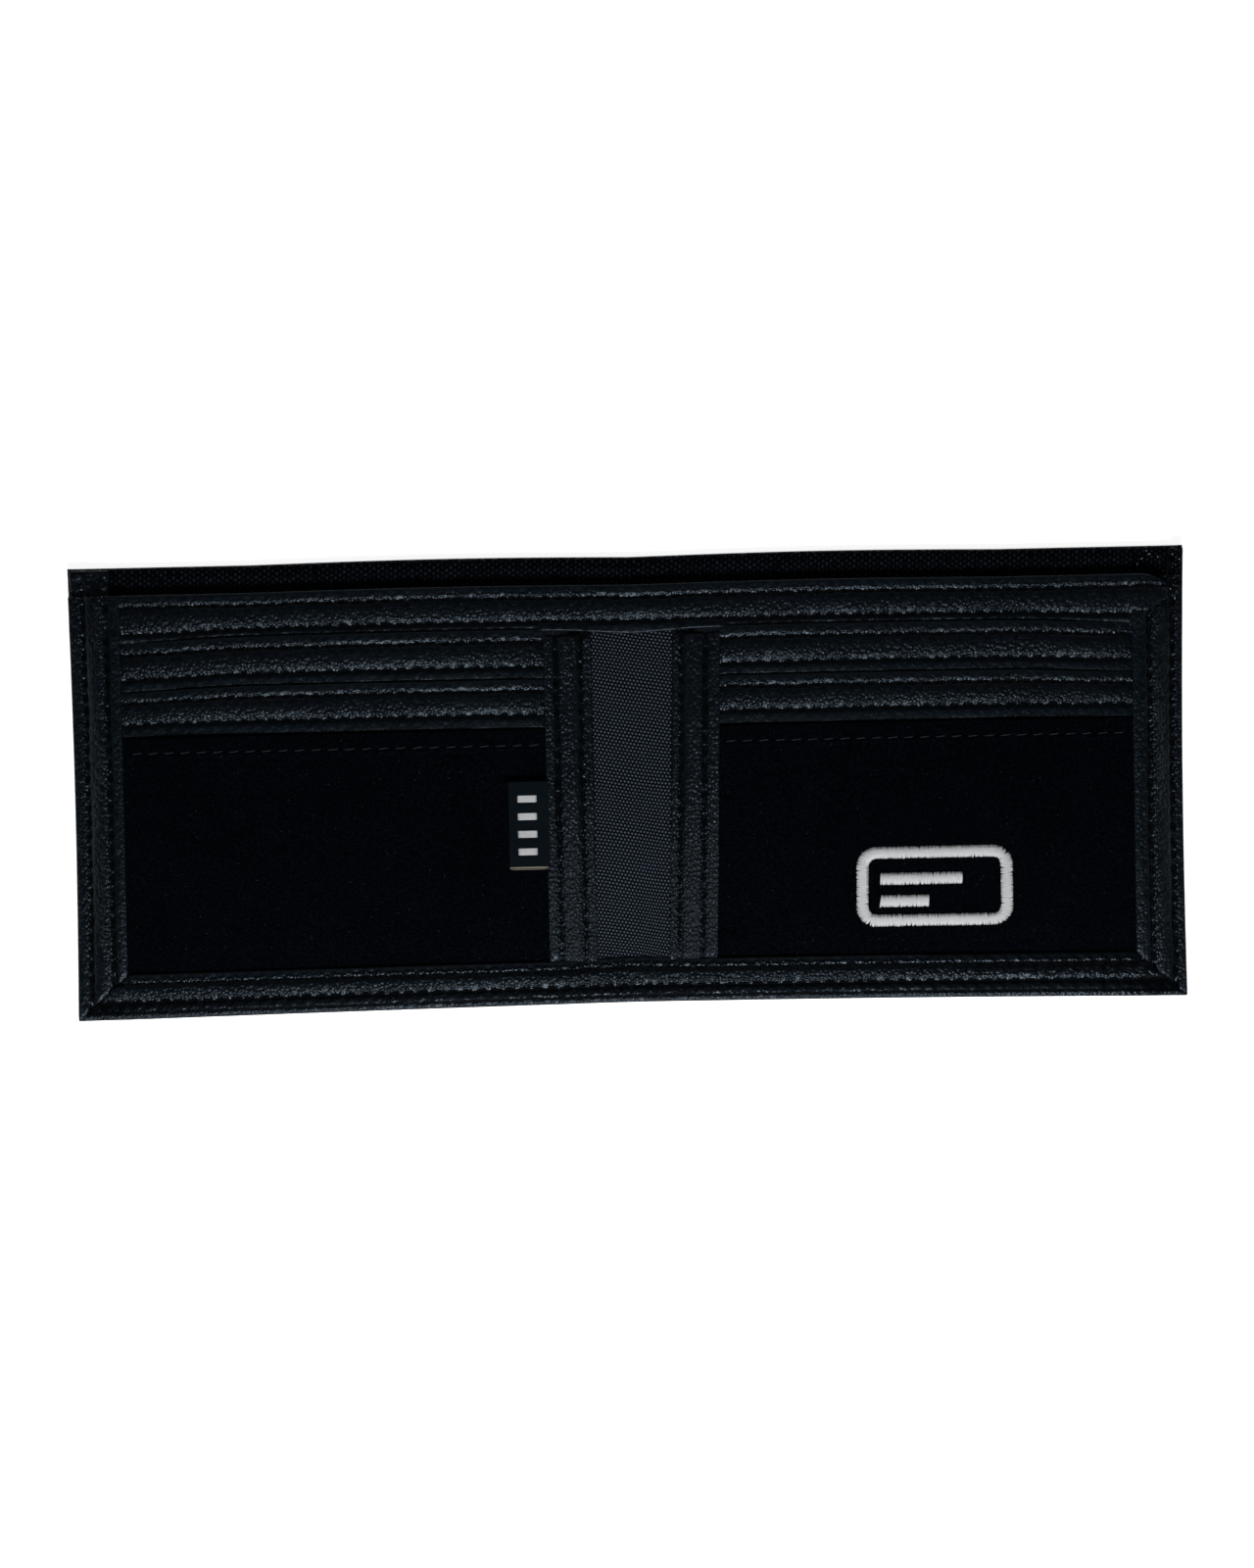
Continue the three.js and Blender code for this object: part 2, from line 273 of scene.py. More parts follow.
def wall_top(x, y):
    """The inner wall's upper face, which is sewn down beside the wings' ends and along its foot."""
    free = ease([(104, 1), (112, 0)], np.abs(x)) * ease([(-44, 0), (-36, 1)], y)
    return WALL_SEWN + (WALL_FREE - WALL_SEWN) * free


def foot(y):
    """The pile of pockets thins out towards its foot, where fewer layers reach."""
    return ease([(-39, 0.35), (-13, 1)], y)


def squeeze(x, y):
    """How much of its full thickness the pile of pockets keeps, towards the seams that hold it."""
    return ease([(POCKET_INNER, 0.6), (24, 1), (88, 1), (POCKET_OUTER, 0.5)], np.abs(x)) * foot(y)


def layer(rise):
    """The height of a face of the pockets' pile."""
    return lambda x, y: wall_top(x, y) + rise * squeeze(x, y)


def suede_base(share):
    """The suede pocket's lower (0) or upper (1) face, which comes down to the wall at its foot."""
    def height(x, y):
        low = ease([(-37.5, TOP_BAND_RISE[0]), (-31, SUEDE_RISE[0])], y)
        return wall_top(x, y) + (low + share * (SUEDE_RISE[1] - SUEDE_RISE[0])) * squeeze(x, y)
    return height


def pile_along(y):
    """The height of what a side or centre band lies on, along the wallet."""
    return foot(y) * ease([
        (-39, 0.8), (-31, BAND_RISE), (POCKET_MOUTH, BAND_RISE), (SLOT_2_MOUTH, SLOT_EDGE_2_RISE[1] + 0.1),
        (TOP_BAND_EDGE, SLOT_EDGE_1_RISE[1] + 0.1), (TOP_BAND_EDGE + 4, 0.75),
    ], y)


def band_base(x, y):
    """The underside of the side and centre bands."""
    over = ease([(CENTRE_BAND_INNER, 0), (POCKET_INNER, 0.6), (24, 1), (88, 1), (POCKET_OUTER, 0.5),
                 (HALF_WIDTH - 0.8, 0)], np.abs(x))
    return wall_top(x, y) + 0.05 + pile_along(y) * over


def bottom_band_base(x, y):
    """The underside of the bottom band, which lies over the pockets' foot."""
    over = ease([(CENTRE_BAND_INNER, 0), (POCKET_INNER + 3, 1), (POCKET_OUTER - 8, 1),
                 (HALF_WIDTH - 0.8, 0)], np.abs(x))
    return wall_top(x, y) + 0.05 + 0.55 * over * ease([(-44.5, 0.3), (-41, 1)], y)


# ---------------------------------------------------------------- sewn leather

def seam_relief(across, along, rows, width, puff, groove):
    """Sewn leather swells between its seams and edges, and each stitch pulls it down."""
    marks = [0, *rows, width]
    relief = np.zeros_like(across)
    for low, high in zip(marks, marks[1:]):
        share = np.clip((across - low) / (high - low), 0, 1)
        full = 1.0 if 0 < low < high < width else 0.4
        relief += puff * full * min(1, (high - low) / 4.5) * 4 * share * (1 - share)
    beat = np.cos(along * 2 * np.pi / PITCH)
    for row in rows:
        gap = across - row
        relief -= groove * np.exp(-(gap / GROOVE_REACH) ** 2) * (0.74 + 0.26 * beat)
        relief += 0.07 * np.exp(-(np.abs(gap) - 1.0) ** 2 / 0.3) * beat
    return relief


def sewn_leather(base, across, along, width, rows, edges, seed, flatten=None, puff=PUFF, groove=GROOVE):
    """The upper face of a sewn band. flatten gives where another piece presses it, from 0 to 1."""
    swell = waves(seed, 26)
    uneven = waves(seed + 50, 9)

    def top(x, y):
        s, t = across(x, y), along(x, y)
        puffed = puff * (1 + 0.3 * swell(x, y))
        relief = seam_relief(s + 0.08 * uneven(x, y), t, rows, width, puffed, groove) + 0.035 * uneven(x, y)
        if flatten:
            relief = relief * flatten(x, y)
        return base(x, y) + relief - edge_drop(x, y, edges, 0.35)

    return top


def seam_shade(across, along, rows, wear_and_highlight=()):
    """Painted shade in the grooves of a sewn band, above 0, and paler edges below 0: wear along its free edges
    with painted highlight where they round off.
    """
    def amount(x, y):
        s, beat = across(x, y), np.cos(along(x, y) * 2 * np.pi / PITCH)
        dark = sum(np.exp(-((s - row) / GROOVE_REACH) ** 2) * (0.8 + 0.2 * beat) for row in rows)
        return dark - sum(0.7 * np.exp(-((s - edge) / 0.28) ** 2) for edge in wear_and_highlight)
    return amount


def leather_grain(across, rows, seed=0, outer=0.3):
    """Grain stands out between the seams, most beside the second, and is stretched flat outside them."""
    patchy = waves(900 + seed, 21)

    def amount(x, y):
        s = across(x, y)
        between = ease([(rows[0] - 1.3, outer), (rows[0] - 0.6, 1), (rows[0] + 0.3, 0.5),
                        (rows[0] + 1.2, 0.5), (rows[1] - 0.8, 1.15), (rows[1] + 0.4, outer)], s)
        return between * (0.85 + 0.25 * patchy(x, y))
    return amount


def along_x(x, y):
    return x


def along_y(x, y):
    return y


def below(edge):
    """How far a point lies below a band's upper edge."""
    return lambda x, y: edge - y


def free_of(x_low, x_high, reach=1.2):
    """1 between two distances from the middle, falling to 0.2 beside them, where bands cover the ends."""
    def share(x, y):
        distance = np.minimum(np.abs(x) - x_low, x_high - np.abs(x))
        return 0.2 + 0.8 * ease([(0, 0), (reach, 1)], distance)
    return share


# ---------------------------------------------------------------- thread

def tubes(lines, radius, sides=6):
    """Points and faces of one closed tube round each line of an array (lines, points, 3)."""
    count, length, _ = lines.shape
    ahead = np.gradient(lines, axis=1)
    ahead /= np.linalg.norm(ahead, axis=2, keepdims=True)
    side = np.cross(np.array([0.0, 0.0, 1.0]), ahead)
    side /= np.linalg.norm(side, axis=2, keepdims=True)
    up = np.cross(ahead, side)
    taper = np.sqrt(1 - 0.85 * np.linspace(-1, 1, length) ** 6)
    turn = np.arange(sides) * 2 * np.pi / sides
    ring = side[:, :, None] * np.cos(turn)[:, None] + up[:, :, None] * np.sin(turn)[:, None]
    points = lines[:, :, None] + ring * (radius * taper)[None, :, None, None]
    ids = np.arange(length * sides).reshape(length, sides)
    walls = np.stack([ids[:-1], np.roll(ids[:-1], -1, 1), np.roll(ids[1:], -1, 1), ids[1:]], -1)
    one = walls.reshape(-1, 4).tolist() + [ids[0, ::-1].tolist(), ids[-1].tolist()]
    faces = [[v + k * length * sides for v in face] for k in range(count) for face in one]
    return points.reshape(-1, 3), faces


def stitch_lines(surface, start, end, pitch=PITCH, length=2.5, lift=0.0, slant=0.08, side=1):
    """The stitches of one straight row on a surface, as lines whose ends dip into their holes.

    Their middles lie at whole numbers of pitches from the origin, as the leather's puckers do.
    """
    start, end = np.array(start, float), np.array(end, float)
    axis = int(np.argmax(np.abs(end - start)))
    low, high = sorted((start[axis], end[axis]))
    first = math.ceil(low / pitch + 0.5)
    last = math.floor(high / pitch - 0.5)
    middles = np.arange(first, last + 1) * pitch
    place = np.linspace(-0.5, 0.5, 7)
    along = middles[:, None] + place * length
    share = (along - start[axis]) / (end[axis] - start[axis])
    across = start[1 - axis] + share * (end[1 - axis] - start[1 - axis])
    level = surface(*((along, across) if axis == 0 else (across, along)))
    aside = across + slant * length * np.broadcast_to(place, along.shape)
    z = level + side * (lift - 0.3 * (2 * np.abs(place)) ** 5)
    return np.stack([along, aside, z] if axis == 0 else [aside, along, z], -1)


def thread(name, rows, radius, material):
    """One object of all the stitches in some rows."""
    parts = [tubes(lines, radius) for lines in rows if len(lines)]
    points, faces, first = [], [], 0
    for part_points, part_faces in parts:
        points.append(part_points)
        faces += [[v + first for v in face] for face in part_faces]
        first += len(part_points)
    return finish_mesh(name, np.concatenate(points), faces, material)


# ---------------------------------------------------------------- materials

class Shader:
    """A Principled material with short ways to add nodes."""

    def __init__(self, name, **surface):
        self.material = bpy.data.materials.new(name)
        self.material.use_nodes = True
        self.tree = self.material.node_tree
        self.surface = self.tree.nodes["Principled BSDF"]
        self.rest = self.node("Attribute", {}, attribute_name="rest").outputs["Vector"]
        self.grain = self.node("Attribute", {}, attribute_name="grain").outputs["Fac"]
        self.set(surface)

    def put(self, socket, value):
        if isinstance(value, bpy.types.NodeSocket):
            self.tree.links.new(value, socket)
        else:
            socket.default_value = value

    def set(self, values):
        for name, value in values.items():
            self.put(self.surface.inputs[name.replace("_", " ")], value)

    def node(self, kind, inputs, **settings):
        made = self.tree.nodes.new("ShaderNode" + kind)
        for name, value in settings.items():
            setattr(made, name, value)
        for name, value in inputs.items():
            self.put(made.inputs[name], value)
        return made

    def maths(self, operation, first, second=0.0, clamp=False):
        made = self.node("Math", {0: first, 1: second}, operation=operation, use_clamp=clamp)
        return made.outputs[0]

    def plus(self, first, second):
        return self.maths("ADD", first, second)

    def times(self, first, second, clamp=False):
        return self.maths("MULTIPLY", first, second, clamp)

    def noise(self, scale, detail=2.0, where=None):
        made = self.node("TexNoise", {"Vector": where or self.rest, "Scale": scale, "Detail": detail})
        return made.outputs[0]

    def between(self, value, low, high):
        """Maps a value from low..high to 0..1."""
        inputs = {"Value": value, "From Min": low, "From Max": high}
        return self.node("MapRange", inputs, clamp=True).outputs["Result"]

    def mix(self, share, first, second):
        made = self.node("Mix", {}, data_type="RGBA")
        self.put(made.inputs["Factor"], share)
        self.put(made.inputs["A"], (*first, 1) if isinstance(first, tuple) else first)
        self.put(made.inputs["B"], (*second, 1) if isinstance(second, tuple) else second)
        return made.outputs["Result"]

    def bump(self, height, depth, strength=1.0):
        """depth is the height of the relief in millimetres."""
        inputs = {"Height": height, "Distance": depth * MM, "Strength": strength}
        self.put(self.surface.inputs["Normal"], self.node("Bump", inputs).outputs["Normal"])


def leather_material():
    """Fine pebbled grain, raised where the piece's own grain value is high, with painted shade in the cracks;
    near-black where the painted light value is above 0 (painted shade), paler below 0 (painted highlight and
    edge wear).
    """
    made = Shader("pebbled_leather", Specular_IOR_Level=0.2, Specular_Tint=(0.66, 0.83, 1.0, 1))
    painted_light_and_wear = made.node("Attribute", {}, attribute_name="painted_light_and_wear").outputs["Fac"]
    warp = made.node("TexNoise", {"Vector": made.rest, "Scale": 1.1, "Detail": 2.0}).outputs[1]
    small_warp = made.node("VectorMath", {0: warp, 1: (0.4, 0.4, 0.4)}, operation="MULTIPLY").outputs[0]
    shifted = made.node("VectorMath", {0: made.rest, 1: small_warp}, operation="ADD").outputs[0]
    cells = made.node("TexVoronoi", {"Vector": shifted, "Scale": 1.3, "Randomness": 0.9}).outputs
    round_off = made.times(made.maths("POWER", cells["Distance"], 2.0), 2.0)
    dome = made.maths("SUBTRACT", 1.0, round_off, clamp=True)
    each = made.node("SeparateColor", {0: cells["Color"]}).outputs[0]
    fine = made.noise(5.0, 3.0, shifted)
    creases = made.noise(0.42, 3.0)
    height = made.times(made.grain, made.plus(0.12, made.times(each, 0.12)))
    relief = made.plus(made.times(dome, height), made.times(fine, 0.02))
    made.bump(made.plus(relief, made.times(creases, 0.12)), 1.0)
    tone = made.mix(made.noise(0.06, 3.0), (0.0003, 0.001, 0.0019), (0.0008, 0.0019, 0.0031))
    # Painted shade: the cracks between the pebbles are darker than their tops.
    hide = made.mix(made.times(dome, 0.5), tone, (0.0022, 0.0042, 0.006))
    uneven = made.times(made.noise(0.8, 3.0), 0.08)
    shine = made.plus(made.times(each, 0.09), uneven)
    polish = made.times(made.times(painted_light_and_wear, 1.0, clamp=True), -0.15)
    # Below 0 the colour turns paler: painted highlight, with wear along the free edges.
    wear_and_highlight = made.mix(made.times(painted_light_and_wear, -1.0, clamp=True), hide, (0.011, 0.014, 0.018))
    # Above 0 the colour turns near-black: painted shade.
    painted_shade = made.times(painted_light_and_wear, 0.9, clamp=True)
    made.set({
        "Base_Color": made.mix(painted_shade, wear_and_highlight, (0.0001, 0.0002, 0.0004)),
        "Roughness": made.plus(0.31, made.plus(shine, polish)),
    })
    return made.material


def dot_lattice(made, where, first, second):
    """Raised dots on a slanting lattice. first and second are two of its three waves, in turns per mm."""
    third = (first[0] + second[0], first[1] + second[1])
    total = 0.0
    for across, up in (first, second, third):
        wave = made.node("VectorMath", {0: where, 1: (across, up, 0)}, operation="DOT_PRODUCT")
        turns = made.times(wave.outputs["Value"], 2 * math.pi)
        total = made.plus(made.maths("COSINE", turns), total)
    return total


def nylon_material():
    """Oxford weave: raised floats in staggered, slightly tilted rows."""
    made = Shader("oxford_nylon", Specular_IOR_Level=0.03, Specular_Tint=(0.75, 0.9, 1.0, 1))
    drift = made.node("TexNoise", {"Vector": made.rest, "Scale": 0.045, "Detail": 1.0}).outputs[1]
    bent = made.node("VectorMath", {0: drift, 1: (1.5, 1.5, 0)}, operation="MULTIPLY").outputs[0]
    where = made.node("VectorMath", {0: made.rest, 1: bent}, operation="ADD").outputs[0]
    floats = made.between(dot_lattice(made, where, (1.205, -0.737), (0.254, 1.4)), -0.5, 2.3)
    made.bump(floats, 0.12)
    patches = made.plus(0.3, made.times(made.noise(1.6), 1.4))
    shade = made.times(floats, patches)
    made.set({
        "Base_Color": made.mix(shade, (0.0004, 0.0009, 0.0018), (0.06, 0.077, 0.1)),
        "Roughness": made.plus(0.5, made.times(made.noise(1.5), 0.2)),
    })
    return made.material


def suede_material():
    """Napped leather with a few pale specks of lint."""
    made = Shader("black_suede", Specular_IOR_Level=0.01, Sheen_Weight=0.002, Sheen_Roughness=0.5)
    nap = made.noise(2.1, 5.0)
    brushed = made.noise(0.09, 3.0)
    made.bump(nap, 0.3)
    lint = made.node("TexVoronoi", {"Vector": made.rest, "Scale": 0.75, "Randomness": 1.0})
    specks = made.between(lint.outputs["Distance"], 0.1, 0.05)
    rare = made.between(made.node("SeparateColor", {0: lint.outputs["Color"]}).outputs[0], 0.5, 0.54)
    fibres = made.between(nap, 0.42, 0.64)
    dark = made.mix(brushed, (0.0001, 0.0002, 0.0005), (0.0003, 0.0006, 0.0012))
    light = made.mix(brushed, (0.0006, 0.0012, 0.0024), (0.0015, 0.0028, 0.0052))
    made.set({
        "Base_Color": made.mix(made.times(specks, rare), made.mix(fibres, dark, light),
                               (0.02, 0.022, 0.027)),
        "Roughness": made.plus(0.85, made.times(nap, 0.1)),
    })
    return made.material


def lining_material():
    """Twill: short floats in diagonal rows, blue-black."""
    made = Shader("twill_lining", Specular_IOR_Level=0.03, Specular_Tint=(0.6, 0.8, 1.0, 1))
    twill = made.between(dot_lattice(made, made.rest, (0.6, 0.83), (0.58, -0.88)), -0.6, 2.4)
    made.bump(twill, 0.16)
    shade = made.times(twill, made.between(made.noise(1.1, 3.0), 0.35, 0.65))
    made.set({
        "Base_Color": made.mix(shade, (0.0001, 0.0002, 0.0005), (0.0125, 0.0155, 0.022)),
        "Roughness": made.plus(0.6, made.times(made.noise(0.7), 0.2)),
    })
    return made.material


def plain_cloth_material(name, dark, light, pitch):
    """Plain weave of one colour, with its threads a pitch apart."""
    made = Shader(name, Specular_IOR_Level=0.05, Specular_Tint=(0.6, 0.8, 1.0, 1))
    split = made.node("SeparateXYZ", {0: made.rest}).outputs
    turns = 2 * math.pi / pitch
    warp = made.maths("COSINE", made.times(split[0], turns))
    weft = made.maths("COSINE", made.times(split[1], turns))
    weave = made.times(warp, weft)
    made.bump(weave, 0.05)
    tone = made.plus(made.between(weave, -1, 1), made.times(made.noise(0.5), 0.3))
    made.set({
        "Base_Color": made.mix(made.between(tone, 0, 1.3), dark, light),
        "Roughness": made.plus(0.75, made.times(made.noise(1.1), 0.15)),
    })
    return made.material


def thread_material(name, dark, light, roughness):
    """Twisted thread: fine diagonal plies and uneven tone."""
    made = Shader(name, Specular_IOR_Level=0.05)
    split = made.node("SeparateXYZ", {0: made.rest}).outputs
    lean = made.plus(made.plus(split[0], split[1]), made.times(split[2], 1.6))
    plies = made.maths("SINE", made.times(lean, 19))
    made.bump(plies, 0.03)
    tone = made.plus(made.between(plies, -1, 1), made.noise(2.5, 3.0))
    made.set({
        "Base_Color": made.mix(made.between(tone, 0.2, 1.6), dark, light),
        "Roughness": made.plus(roughness, made.times(made.noise(1.7), 0.15)),
    })
    return made.material


def board_material():
    """Pressed fibre board, hidden inside the cover."""
    made = Shader("pressed_board", Specular_IOR_Level=0.2)
    fibres = made.noise(1.4, 6.0)
    made.bump(fibres, 0.05)
    made.set({"Base_Color": made.mix(fibres, (0.06, 0.05, 0.04), (0.15, 0.125, 0.1)), "Roughness": 0.9})
    return made.material


def floor_material():
    """Plain pale paper. A glow of its own keeps it white."""
    made = Shader("pale_floor", Specular_IOR_Level=0.1)
    place = made.node("TexCoord", {}).outputs["Object"]
    faint = made.noise(1.5, 2.0, place)
    made.set({
        "Base_Color": made.mix(faint, (0.86, 0.86, 0.86), (0.9, 0.9, 0.9)), "Roughness": 0.8,
        "Emission_Color": (1, 1, 1, 1), "Emission_Strength": 0.85,
    })
    return made.material


LEATHER = leather_material()
NYLON = nylon_material()
SUEDE = suede_material()
LINING = lining_material()
POCKET_FABRIC = plain_cloth_material("pocket_fabric", (0.002, 0.0024, 0.003), (0.009, 0.01, 0.012), 0.4)
LABEL_WEAVE = plain_cloth_material("label_weave", (0.0009, 0.002, 0.0031), (0.0042, 0.0072, 0.0098), 0.3)
THREAD = thread_material("navy_thread", (0.0001, 0.0002, 0.0005), (0.0006, 0.001, 0.0018), 0.6)
HEM_THREAD = thread_material("grey_thread", (0.006, 0.007, 0.01), (0.03, 0.032, 0.038), 0.6)
SATIN = thread_material("white_satin", (0.42, 0.43, 0.45), (0.74, 0.745, 0.75), 0.4)
TACK = thread_material("pale_fluff", (0.12, 0.125, 0.14), (0.34, 0.35, 0.37), 0.7)
CREAM = thread_material("cream_weft", (0.11, 0.1, 0.075), (0.3, 0.28, 0.22), 0.6)
BOARD = board_material()


# ---------------------------------------------------------------- placing pieces on their bodies

def wing_of(side):
    return "left" if side < 0 else "right"


def bend(piece, side):
    """Bakes the piece's placement into its mesh."""
    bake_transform(piece)


def stand_for(piece, slot, *nodes):
    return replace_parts(piece, *nodes)


def place_on_wing(piece, side, slot, part):
    """The piece stands for a part's node on one wing and rides with that wing."""
    wing = wing_of(side)
    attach(stand_for(piece, slot, f"{part}_{wing}"), f"{wing}_wing")


def place_over_fold(piece, side, slot, part):
    """Hides a part's node on one wing and bakes the piece in place, unbent and not riding with a body. The left
    piece stands for the spine's node too.
    """
    spine = [f"{part}_spine"] if side < 0 else []
    bend(stand_for(piece, slot, f"{part}_{wing_of(side)}", *spine), side)


def place_thread(piece, body):
    """Thread has no CAD node, so it only rides with a body."""
    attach(piece, body)


def mirrored(side, low, high, step, rim=0.0):
    """Grid lines on one wing between two distances from the middle."""
    lines = stops(low, high, step, rim)
    return lines if side > 0 else -lines[::-1]


def crossing(side, outer, step, rim=0.0):
    """Grid lines from the middle of the spine out to a distance, closer together at the fold."""
    near = stops(0, FOLD + 2 * BEND, 0.45)
    far = stops(FOLD + 2 * BEND, outer, step, 0)[1:]
    lines = np.concatenate([near, far])
    if rim:
        lines = np.concatenate([lines[lines < outer - rim], outer - stops(0, rim, rim / 6)[::-1]])
    return lines if side > 0 else -lines[::-1]


def outline(side, inner, outer):
    """Free edges on one wing, as low x and high x. None stands for an end that is sewn in."""
    low = None if inner is None else side * inner
    high = None if outer is None else side * outer
    return (low, high) if side > 0 else (high, low)


# ---------------------------------------------------------------- pieces

def cover(side):
    """The outer hide, turned over at its edges, from the wing's end to the middle of the spine."""
    inner_x, inner_y = HALF_WIDTH - COVER_RIM, HALF_HEIGHT - COVER_RIM
    rim = stops(0, COVER_RIM, 0.42, 0.5)
    xs = np.concatenate([crossing(1, inner_x, 2.2), stops(inner_x, HALF_WIDTH, 0.42, 0.5)[1:]])
    xs = xs if side > 0 else -xs[::-1]
    ys = np.concatenate([-HALF_HEIGHT + rim, stops(-inner_y, inner_y, 1.6)[1:-1], HALF_HEIGHT - rim[::-1]])
    grid = np.meshgrid(xs, ys)
    edges = (*outline(side, None, HALF_WIDTH), -HALF_HEIGHT, HALF_HEIGHT)
    uneven = waves(3, 17)

    def inset(x, y):
        return np.minimum(HALF_WIDTH - np.abs(x), y + HALF_HEIGHT)

    def top(x, y):
        hem = ease([(0.9, 1), (1.5, 0)], inset(x, y)) * (WALL_SEWN - 0.12 - COVER)
        mouth = ease([(0.5, 1), (0.9, 0)], HALF_HEIGHT - y) * (LINING_TOP - 0.1 - COVER)
        return COVER - 0.05 + np.maximum(hem, mouth) - edge_drop(x, y, edges, 0.5)

    def bottom(x, y):
        beat = 0.85 - 0.15 * np.cos((x + y) * 2 * np.pi / PITCH)
        pulled = sum(np.exp(-((inset(x, y) - row) / 0.4) ** 2) for row in COVER_ROWS)
        pulled = pulled + np.exp(-((HALF_HEIGHT - y - COVER_ROWS[0]) / 0.4) ** 2) * (inset(x, y) > 8)
        soft = 0.02 * (1 + uneven(x, y))
        return soft + 0.22 * pulled * beat + edge_drop(x, y, edges, 0.5)

    def shade(x, y):
        return ease([(MOUTH - 2, 0), (MOUTH, 0.75)], y) * (inset(x, y) > 0.2)

    piece = sheet(f"cover_leather_{wing_of(side)}", grid, top, bottom, LEATHER, None, shade)
    place_over_fold(piece, side, "leather", "cover")

    def underside_row(start, end):
        points = [(side * x, y) for x, y in (start, end)]
        return stitch_lines(bottom, *points, lift=-0.02, side=-1)

    across = [underside_row((1.5, row - HALF_HEIGHT), (HALF_WIDTH - row, row - HALF_HEIGHT))
              for row in COVER_ROWS]
    upper = HALF_HEIGHT - COVER_ROWS[0]
    across.append(underside_row((1.5, upper), (HALF_WIDTH - 8.5, upper)))
    down = [underside_row((HALF_WIDTH - row, row - HALF_HEIGHT), (HALF_WIDTH - row, HALF_HEIGHT - 1.2))
            for row in COVER_ROWS]
    return across, down


def lining(side):
    """The compartment's lining. It runs up to the cover's edge at the mouth, where it is turned in."""
    wing = wing_of(side)
    low, high = span_of(f"lining_{wing}")
    outer = max(abs(low[0]), abs(high[0]))
    top_y = HALF_HEIGHT - 0.35
    ys = np.concatenate([stops(low[1] + 0.6, MOUTH - 2, 1.5)[:-1], stops(MOUTH - 2, top_y, 0.3, 0.5)])
    grid = np.meshgrid(crossing(side, outer, 1.5, 0.5), ys)
    soft = waves(11, 30)
    edges = (*outline(side, None, outer), None, top_y)

    def top(x, y):
        swell = ease([(MOUTH + 1, 0), (MOUTH + 3.5, 1), (top_y, 0.2)], y)
        return LINING_TOP + 0.05 * soft(x, y) + 0.25 * swell - edge_drop(x, y, edges, 0.5)

    piece = sheet(f"lining_cloth_{wing}", grid, top, level_at(LINING_LOW), LINING)
    place_over_fold(piece, side, "lining", "lining")


def inner_wall(side):
    """The nylon wall that carries the pockets. It is seen only over the spine, where it is a little slack."""
    wing = wing_of(side)
    low, high = span_of(f"inner_wall_{wing}")
    outer = max(abs(low[0]), abs(high[0])) - 0.6
    grid = np.meshgrid(crossing(side, outer, 1.6), stops(low[1] + 0.6, high[1], 1.0))
    slack = waves(21, 34)

    def top(x, y):
        open_part = ease([(6.5, 1), (9, 0)], np.abs(x))
        return wall_top(x, y) + open_part * (0.12 * slack(x, y) - 0.06)

    piece = sheet(f"inner_wall_nylon_{wing}", grid, top, lambda x, y: top(x, y) - WALL, NYLON)
    place_over_fold(piece, side, "nylon", "inner_wall")


